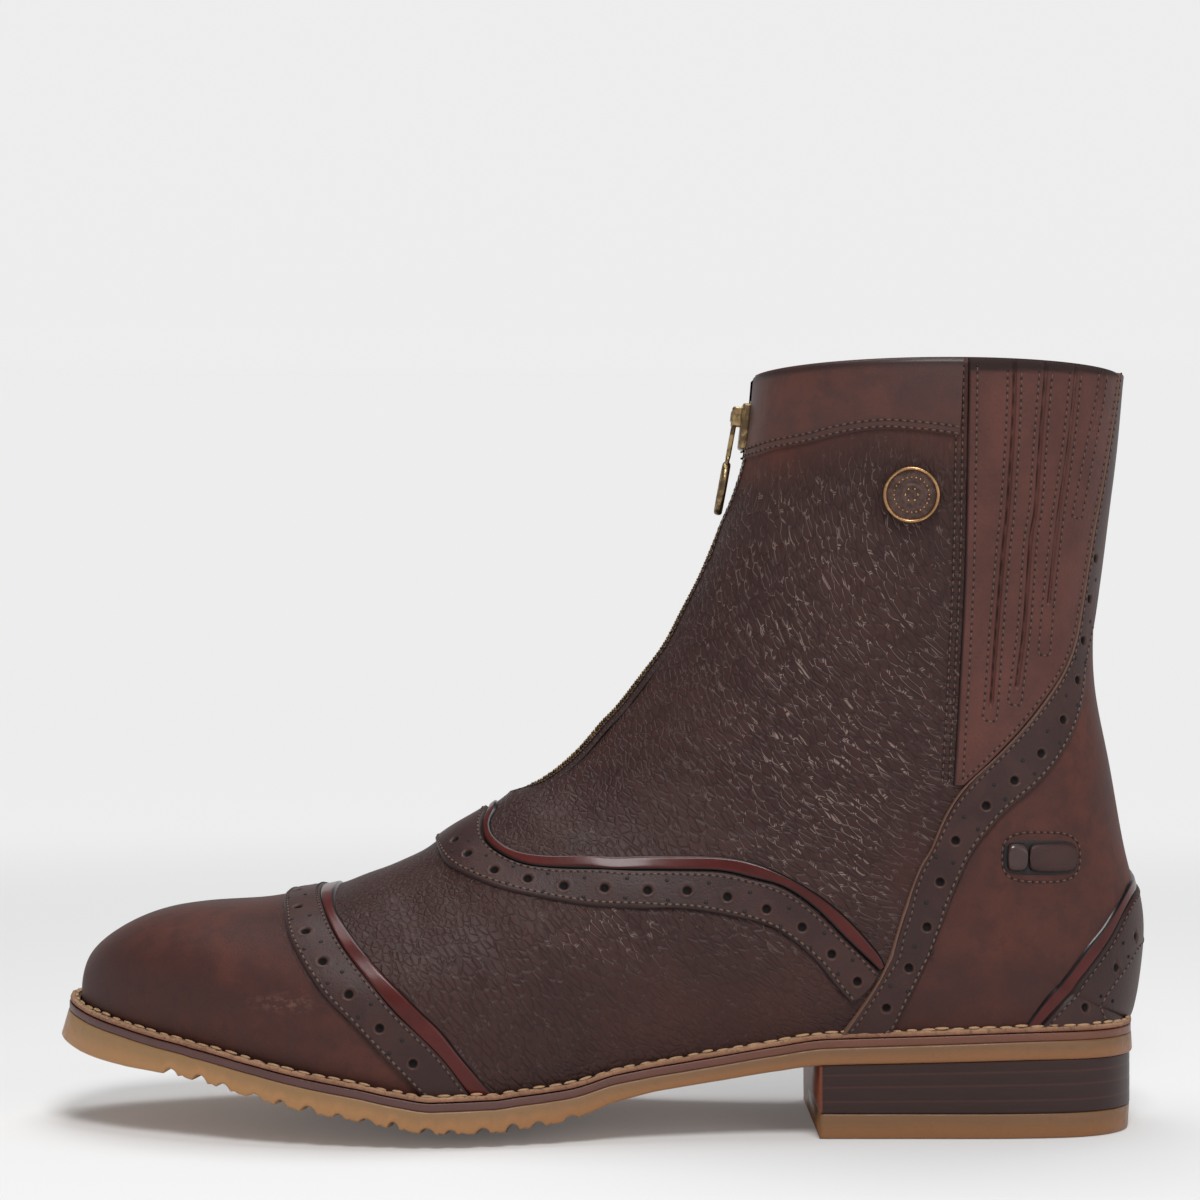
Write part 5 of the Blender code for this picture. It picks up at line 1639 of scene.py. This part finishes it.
def build_sole():
    def bottom(x, y):
        return tread(x, y) + groove(x)

    def lean(place):
        share = toe_share(place.x)
        beside = min(max(gum_top(place.x, place.y) - place.z, 0.0) / GUM, 1.0)
        return -(TOE_LEAN + (TREAD_SLOPE - TOE_LEAN) * beside) * share * share

    def toe_lean(place):
        share = toe_share(place.x)
        return -TOE_LEAN * share * share

    ring = section_ring(gum_top, bottom, 0.0, 0.0002, 0.0005, middle=10)
    sole_loft("outsole_skin", 0.0, HEEL_ROW, 620, ring, GUM_RUBBER, ("outsole",), shift=lean)
    over = section_ring(
        lambda x, y: gum_top(x, y) + CLEARANCE + MIDSOLE, gum_top,
        -0.0001, -0.0001, 0.0003, middle=4,
    )
    sole_loft("midsole_skin", 0.0, HEEL_ROW, 240, over, MIDSOLE_LEATHER, ("midsole",),
              shift=toe_lean)
    build_welt()
    sew_welt()
    inside = section_ring(
        lambda x, y: bed(x, y) + CLEARANCE + INSOLE, lambda x, y: bed(x, y) + CLEARANCE,
        -WELT_MARGIN - 0.0036, -WELT_MARGIN - 0.0036, 0.0004, middle=8,
    )
    sole_loft("insole_skin", 0.6, HEEL_ROW - 0.3, 120, inside, INSOLE_LEATHER, ("insole",))


WELT_ROWS = 640
# Distance from the edge, rise over the midsole and share of the top face
WELT_PROFILE = (
    (-0.0036, 0.0, 1.0), (-0.0036, 0.0010, 1.0), (-0.0010, 0.0012, 1.0), (-0.0003, 0.0010, 1.0),
    (0.0, 0.0006, 0.2), (0.0, 0.0, 0.0),
)
WELT_STITCH_PITCH = 0.0038
WELT_STITCH_LINE = 0.52
WELT_STITCH_RISE = 0.00135
WELT_STITCH_SIZE = (0.0017, 0.00050, 0.00036, 1.0)


def build_welt():
    """Tan strip on the midsole's edge."""
    builder = bmesh.new()
    top = builder.verts.layers.float.new("top")
    count = len(WELT_PROFILE)
    bmesh.ops.create_grid(builder, x_segments=count, y_segments=WELT_ROWS, size=1.0)
    for vert in builder.verts:
        j = round((vert.co.x + 1) / 2 * count) % count
        k = round((vert.co.y + 1) / 2 * WELT_ROWS) % WELT_ROWS
        place = 2 * HEEL_ROW * k / WELT_ROWS
        side = -1 if place <= HEEL_ROW else 1
        t = place if place <= HEEL_ROW else 2 * HEEL_ROW - place
        margin, rise, vert[top] = WELT_PROFILE[j]
        here, normal = edge_frame(t, side)
        reach = welt_reach(here.x)
        if margin < -0.001:
            margin = -reach + 0.0002
        ragged = 0.00022 * math.sin(k * 2.11) * math.sin(k * 0.77 + 1.3) * vert[top]
        flat = here + normal * (reach + margin + ragged * 0.5)
        vert.co = Vector((flat.x, flat.y, bed(flat.x, flat.y) + rise + (ragged if rise else 0.0)))
        share = toe_share(flat.x)
        vert.co.x -= TOE_LEAN * share * share * 0.6
    bmesh.ops.remove_doubles(builder, verts=builder.verts, dist=1e-6)
    bmesh.ops.recalc_face_normals(builder, faces=builder.faces)
    mesh_object("welt_skin", builder, WELT_LEATHER, ("welt",))


def sew_welt():
    """Thick, slightly uneven stitches along the welt."""
    threads = Pile(capsule(8, 6))
    shape = Matrix.Diagonal(WELT_STITCH_SIZE) @ Matrix.Rotation(math.pi / 2, 4, "Y")
    for side in (-1, 1):
        line = []
        for k in range(HEEL_ROW * 40 + 1):
            here, normal = edge_frame(k / 40, side)
            flat = here + normal * (welt_reach(here.x) * WELT_STITCH_LINE)
            line.append((Vector((flat.x, flat.y, bed(flat.x, flat.y) + WELT_STITCH_RISE)), normal))
        reached = 0.0
        goal = WELT_STITCH_PITCH / 2
        for (a, normal), (b, _) in zip(line, line[1:]):
            step = (b - a).length
            if reached + step >= goal:
                heading = (b - a).normalized()
                up = heading.cross(Vector((normal.x, normal.y, 0.0))).normalized()
                if up.z < 0:
                    up.negate()
                uneven = Matrix.Diagonal((random.uniform(0.75, 1.05), random.uniform(0.7, 1.3), 1.0, 1.0))
                dropped = a + Vector((0.0, 0.0, random.uniform(-0.0002, 0.0002)))
                threads.add(turned(dropped, heading, up) @ uneven @ shape)
                goal += WELT_STITCH_PITCH
            reached += step
    mesh_object("welt_stitches", threads.whole, WELT_THREAD)


def heel_breast():
    """Row of the sole's edge at which the heel begins."""
    goal = REACH[1][-1].x - HEEL_BREAST - 0.0010
    low = 8.0
    high = float(HEEL_ROW)
    for _ in range(30):
        middle = (low + high) / 2
        if base_edge(middle, -1).x < goal:
            low = middle
        else:
            high = middle
    return low


HEEL_LIFTS = (0.0, 0.26, 0.55, 0.80, 1.0)
HEEL_INSET = 0.0006
HEEL_SIDE = 0.0004
LIFT_LINE_DEPTH = 0.00005


def build_heel():
    """Leather lifts with sunk lines between them, on a gum heel piece."""
    breast = heel_breast()

    def side_height(share):
        return lambda x, y: TOP_LIFT + 0.0001 + (tread(x, y) - TOP_LIFT - 0.0001) * share

    shares = []
    for a, b in zip(HEEL_LIFTS, HEEL_LIFTS[1:]):
        shares += [(a + 0.02, 0.0), (a + 0.05, 0.0), ((a + b) / 2, 0.0), (b - 0.05, 0.0), (b - 0.02, 1.0)]
    wall = [
        (-HEEL_SIDE - LIFT_LINE_DEPTH * line, side_height(share), 0.0, 0.0, line)
        for share, line in shares
    ]
    vs = [-1 + 2 * k / 4 for k in range(5)]
    ring = [(v, -HEEL_INSET, side_height(1.0), 0.0, 0.0, 0.0) for v in vs]
    ring += [(1.0,) + place for place in reversed(wall)]
    ring += [(v, -HEEL_INSET, side_height(0.0), 0.0, 0.0, 0.0) for v in reversed(vs)]
    ring += [(-1.0,) + place for place in wall]
    sole_loft("heel_block_skin", breast, HEEL_ROW, 120, ring, HEEL_LEATHER, ("heel_block",))
    lift = section_ring(lambda x, y: TOP_LIFT, lambda x, y: 0.0, -0.0005, -0.0008, 0.0004, middle=4)
    sole_loft("top_lift_skin", breast, HEEL_ROW, 160, lift, GUM_RUBBER, ("top_lift",))


def front_frame(t):
    """Place, upward direction and outward direction of the front line at a row."""
    place = Section(t).front
    up = Section(min(t + 0.1, LAST_ROW)).front - Section(max(t - 0.1, 0.0)).front
    up.y = 0.0
    up.normalize()
    outward = Vector((-up.z, 0.0, up.x))
    return place, up, outward


TAPE_HALF = 0.0082
TAPE_BEHIND = 0.0022
TAPE_THICK = 0.0006
TOOTH_SIZE = Vector((0.0008, 0.0029, 0.0015))
TOOTH_PITCH = 0.00075


def build_zip():
    """Tape and teeth in the slot."""
    builder = bmesh.new()
    bmesh.ops.create_grid(builder, x_segments=14, y_segments=90, size=1.0)
    for vert in builder.verts:
        t = THROAT_ROW - 0.1 + (LAST_ROW - THROAT_ROW - 0.05) * (vert.co.y + 1) / 2
        place, up, outward = front_frame(t)
        y = vert.co.x * TAPE_HALF
        raised = 0.0005 * math.exp(-((abs(y) - 0.0033) / 0.0006) ** 2)
        vert.co = place + Vector((0.0, y, 0.0)) - outward * (TAPE_BEHIND - raised)
    bmesh.ops.solidify(builder, geom=list(builder.faces), thickness=TAPE_THICK)
    mesh_object("zip_tape_skin", builder, ZIP_CLOTH, ("zip_tape",))
    tooth = bmesh.new()
    bevelled_box(tooth, Vector(), TOOTH_SIZE, Matrix.Identity(4), 0.0002, 1)
    teeth = Pile(tooth)
    t = THROAT_ROW + 0.6
    number = 0
    while t < SLIDER_ROW + 0.35:
        place, up, outward = front_frame(t)
        side = -1 if number % 2 else 1
        root = place + Vector((0.0, side * 0.0010, 0.0)) - outward * 0.0009
        teeth.add(turned(root, up, outward))
        rate = (Section(t + 0.05).front - place).length / 0.05
        t += TOOTH_PITCH / rate
        number += 1
    mesh_object("zip_teeth_skin", teeth.whole, BRASS, ("zip_teeth",), smooth=False)


def bevelled_box(builder, centre, size, matrix, offset=0.0002, segments=2):
    made = bmesh.ops.create_cube(builder, size=1.0)["verts"]
    bmesh.ops.scale(builder, vec=size, verts=made)
    bmesh.ops.translate(builder, vec=centre, verts=made)
    edges = list({edge for vert in made for edge in vert.link_edges})
    grown = bmesh.ops.bevel(
        builder, geom=edges, offset=offset, segments=segments, profile=0.5, affect="EDGES", material=-1,
    )
    verts = {v for v in grown["verts"]} | {v for v in made if v.is_valid}
    for vert in verts:
        vert.co = matrix @ vert.co


def build_slider():
    """Slider body with its lugs, and the pull with its link and ring end."""
    place, up, outward = front_frame(SLIDER_ROW)
    matrix = turned(place, up, outward)
    slider = bmesh.new()
    bevelled_box(slider, Vector((0.0, 0.0, 0.0004)), Vector((0.0115, 0.0085, 0.0030)), matrix, 0.0006)
    for side in (-1, 1):
        lug = Vector((0.0023, side * 0.0022, 0.0026))
        bevelled_box(slider, lug, Vector((0.0048, 0.0010, 0.0032)), matrix, 0.0003)
    bevelled_box(slider, Vector((0.0023, 0.0, 0.0041)), Vector((0.0026, 0.0050, 0.0008)), matrix, 0.0003)
    bmesh.ops.recalc_face_normals(slider, faces=slider.faces)
    mesh_object("zip_slider_skin", slider, BRASS, ("zip_slider",))
    tip_place, _, tip_outward = front_frame(PULL_TIP_ROW)
    tip = tip_place + tip_outward * 0.0012
    hang = (tip - PULL_AXIS).normalized()
    away = Vector((hang.z, 0.0, -hang.x))
    if away.x > 0:
        away.negate()
    pull_frame = frame_of(hang, Vector((0.0, 1.0, 0.0)), away, PULL_AXIS)
    pull = bmesh.new()
    bevelled_box(pull, Vector((0.0050, 0.0, 0.0)), Vector((0.0116, 0.0028, 0.0012)), pull_frame, 0.0003)
    ring(pull, pull_frame, 0.0182, 0.0068, 0.0037, 0.0011, 0.0010)
    ring(pull, pull_frame, 0.0112, 0.0018, 0.0020, 0.0007, 0.0005)
    bevelled_box(pull, Vector((0.0180, 0.0, 0.0)), Vector((0.0084, 0.0022, 0.0008)), pull_frame, 0.0003)
    bmesh.ops.recalc_face_normals(pull, faces=pull.faces)
    mesh_object("zip_pull_skin", pull, BRASS, ("zip_pull",), body="pull")


def ring(builder, matrix, middle, half_long, half_wide, thick, half_deep):
    """Oval ring in the plane of the pull."""
    segments = 28
    around = 8
    verts = bmesh.ops.create_grid(builder, x_segments=around, y_segments=segments, size=1.0)["verts"]
    for vert in verts:
        turn = 2 * math.pi * (round((vert.co.y + 1) / 2 * segments) % segments) / segments
        roll = 2 * math.pi * (round((vert.co.x + 1) / 2 * around) % around) / around
        out = thick / 2 * math.cos(roll)
        vert.co = matrix @ Vector((
            middle + (half_long - thick / 2 + out) * math.cos(turn),
            (half_wide - thick / 2 + out) * math.sin(turn),
            half_deep * math.sin(roll),
        ))
    bmesh.ops.remove_doubles(builder, verts=verts, dist=1e-6)


# Radius and height along the button's rim and face, and count, radius and size of its beads
RIM_PROFILE = (
    (0.0058, 0.0020), (0.0060, 0.0027), (0.0063, 0.0029), (0.0066, 0.0028), (0.0068, 0.0024),
    (0.0068, 0.0012), (0.0064, 0.0002),
)
FACE_PROFILE = (
    (0.0, 0.0024), (0.0010, 0.0024), (0.0013, 0.0022), (0.0016, 0.0024), (0.0026, 0.0023),
    (0.0029, 0.0021), (0.0032, 0.0023), (0.0036, 0.0022), (0.0048, 0.0021), (0.0059, 0.0020),
)
BEADS = ((24, 0.0042, 0.00030), (6, 0.0015, 0.00036))


def build_button():
    """Plain domed stud with a polished rim and rings on its face."""
    point, normal = SKIN.at(*SKIN.seen(*BUTTON_AT))
    matrix = normal.to_track_quat("Z", "Y").to_matrix().to_4x4()
    matrix.translation = point
    for name, profile, material in (
        ("button_rim", RIM_PROFILE, COPPER), ("button_face", FACE_PROFILE, BRONZE),
    ):
        builder = bmesh.new()
        verts = [builder.verts.new((r, 0.0, z)) for r, z in profile]
        edges = [builder.edges.new(two) for two in zip(verts, verts[1:])]
        bmesh.ops.spin(
            builder, geom=verts + edges, axis=(0, 0, 1), cent=(0, 0, 0), angle=2 * math.pi, steps=56,
            use_merge=True,
        )
        bmesh.ops.remove_doubles(builder, verts=builder.verts, dist=1e-6)
        if name == "button_rim":
            for count, radius, size in BEADS:
                for k in range(count):
                    angle = 2 * math.pi * k / count
                    bead = Matrix.Translation((radius * math.cos(angle), radius * math.sin(angle), 0.0023))
                    bmesh.ops.create_uvsphere(builder, u_segments=6, v_segments=4, radius=size, matrix=bead)
        bmesh.ops.recalc_face_normals(builder, faces=builder.faces)
        bmesh.ops.transform(builder, matrix=matrix, verts=builder.verts)
        mesh_object(name, builder, material, ("button",) if name == "button_rim" else ())


def oval_places(middle, half_wide, half_high, corner, count=44):
    """Places of a rounded rectangle on the outer side, round a pixel."""
    places = []
    for k in range(count + 1):
        angle = 2 * math.pi * k / count
        power = 2 / corner
        dx = half_wide * math.copysign(abs(math.cos(angle)) ** power, math.cos(angle))
        dy = half_high * math.copysign(abs(math.sin(angle)) ** power, math.sin(angle))
        places.append(SKIN.seen(middle[0] + dx, middle[1] + dy))
    return places


LENS_POWER = 0.42


def build_spur_rests():
    """Knob and bar of each rest, in a recess darkened with painted shade, sewn round with an oval."""
    oval = oval_places(SPUR_MIDDLE, 39, 25, 3.2)
    parts = (
        # the recess: a thin sheet of near-black painted shade
        ("recess", 1003, 1077, 839, 876, 0.00020, 0.0003, PAINTED_SHADE),
        ("knob", 1007, 1026, 842, 872, 0.0018, 0.0022, KNOB),
        ("bar", 1028, 1074, 842, 873, 0.0014, 0.0014, BAND),
    )
    for side, turn in SIDES:
        path = sided(oval, turn, 0.0001)
        sewn(DARK, path, 0.00023, 0.0)
        for name, left, right, upper, under, thick, edge, material in parts:
            lines = []
            for way in (-1, 1):
                half = []
                for k in range(17):
                    angle = math.pi * k / 16
                    across = math.copysign(abs(math.cos(angle)) ** LENS_POWER, -math.cos(angle))
                    high = way * math.sin(angle) ** LENS_POWER
                    half.append(((left + right) / 2 + (right - left) / 2 * across,
                                 (upper + under) / 2 + (under - upper) / 2 * high))
                places = [SKIN.seen(*pixel) for pixel in half]
                lines.append(sided(places, turn))
            high, low = lines
            strip(name + "_" + side, high, low, thick, 0.0004, 18, material,
                  ("spur_rest_" + side,) if name == "bar" else (),
                  edge=edge)


def build_quarter_seams():
    """Two rows of stitches beside the zip, up to the collar."""
    edge = [(THROAT_ROW + 0.6 + k * 0.6, -1e-6) for k in range(21)]
    for side, places in ((1, edge), (-1, mirrored(edge))):
        for away in (0.0014, 0.0030):
            sewn(DARK, offset_path(Path(places), side * away, 0.00012), 0.00021, 0.0)


PAPER_LIT = (0.72, 0.72, 0.72)
PAPER_NEAR = 0.07
PAPER_FAR = 0.838
PAPER_REACH = 6.0
PAPER_CURVE = 1.2
PAPER_TOP = 2.3
WORLD_COLOUR = (0.95, 0.97, 1.0, 1.0)
WORLD_STRENGTH = 0.16
LIGHTS_AIM = Vector((0.0, 0.0, 0.08))
# Name, place, size and power
LIGHTS = (
    ("key", (0.12, -0.85, 1.22), 0.45, 12.5),
    ("fill", (1.1, -1.3, 0.7), 1.0, 4.0),
    ("top", (0.05, 0.25, 1.3), 0.8, 9.0),
)


def placed(name, data, location):
    """An object of the stage, linked to the scene."""
    item = bpy.data.objects.new(name, data)
    item.location = location
    bpy.context.scene.collection.objects.link(item)
    return item


def build_stage():
    """Round pale floor that curves up into a wall all round, soft lights and the camera."""
    material = bpy.data.materials.new("studio_paper")
    material.use_nodes = True
    material.cycles.emission_sampling = "NONE"
    g = Graph(material.node_tree)
    shader = material.node_tree.nodes["Principled BSDF"]
    place = g.place()
    away = g.add("ShaderNodeVectorMath", {0: place}, operation="LENGTH").outputs["Value"]
    far = g.step(g.math("ADD", away, g.math("MULTIPLY", g.noise(place, 3.0, 2.0), 0.02)), 0.20, 1.0)
    g.feed(shader.inputs["Base Color"], g.mix(far, PAPER_LIT, (0.02, 0.02, 0.02)))
    shader.inputs["Roughness"].default_value = 1.0
    shader.inputs["Specular IOR Level"].default_value = 0.0
    shader.inputs["Emission Color"].default_value = (1.0, 1.0, 1.0, 1.0)
    g.feed(shader.inputs["Emission Strength"], g.blend(far, PAPER_NEAR, PAPER_FAR))
    builder = bmesh.new()
    bend = PAPER_REACH - PAPER_CURVE
    profile = [(bend * (k / 12) ** 2, 0.0) for k in range(13)]
    for k in range(1, 17):
        angle = math.pi / 2 * k / 16
        profile.append((bend + PAPER_CURVE * math.sin(angle), PAPER_CURVE * (1 - math.cos(angle))))
    profile.append((PAPER_REACH, PAPER_TOP))
    line = [builder.verts.new((reach, 0.0, height)) for reach, height in profile]
    edges = [builder.edges.new(ends) for ends in zip(line, line[1:])]
    bmesh.ops.spin(builder, geom=line + edges, cent=(0.0, 0.0, 0.0), axis=(0.0, 0.0, 1.0),
                   angle=2 * math.pi, steps=96, use_merge=True)
    bmesh.ops.remove_doubles(builder, verts=builder.verts, dist=1e-5)
    bmesh.ops.recalc_face_normals(builder, faces=builder.faces)
    bmesh.ops.reverse_faces(builder, faces=[face for face in builder.faces if face.normal.z < -0.5])
    mesh = bpy.data.meshes.new("paper")
    builder.to_mesh(mesh)
    builder.free()
    mesh.shade_smooth()
    mesh.materials.append(material)
    paper = placed("paper", mesh, (0.0, 0.0, -0.0001))
    world = bpy.data.worlds.new("studio")
    world.use_nodes = True
    world.node_tree.nodes["Background"].inputs[0].default_value = WORLD_COLOUR
    world.node_tree.nodes["Background"].inputs[1].default_value = WORLD_STRENGTH
    bpy.context.scene.world = world
    for name, place, size, power in LIGHTS:
        light = bpy.data.lights.new(name, "AREA")
        light.energy = power
        light.size = size
        item = placed(name, light, place)
        item.rotation_euler = (LIGHTS_AIM - Vector(place)).to_track_quat("-Z", "Y").to_euler()
    camera = bpy.data.cameras.new("camera")
    camera.sensor_width = SENSOR
    camera.lens = SENSOR * FOCAL_PX / PHOTO_WIDTH
    camera.clip_start = 0.01
    camera.clip_end = 50.0
    item = placed("camera", camera, CAMERA_AT)
    item.rotation_euler = (math.pi / 2, 0.0, 0.0)
    bpy.context.scene.camera = item
    bpy.context.scene.view_settings.view_transform = "Standard"


def main():
    build_toe_band()
    build_wing_band()
    build_back_bands()
    build_heel_band()
    build_gussets()
    build_collar()
    build_spur_rests()
    build_quarter_seams()
    build_button()
    mesh_object("tan_stitches", TAN.whole, TAN_THREAD)
    mesh_object("dark_stitches", DARK.whole, DARK_THREAD)
    # dots of painted shade for the holes
    mesh_object("painted_hole_shade", SHADE_DOTS.whole, PAINTED_SHADE)
    build_lining()
    build_skin()
    build_sole()
    build_heel()
    build_zip()
    build_slider()
    build_stage()


main()
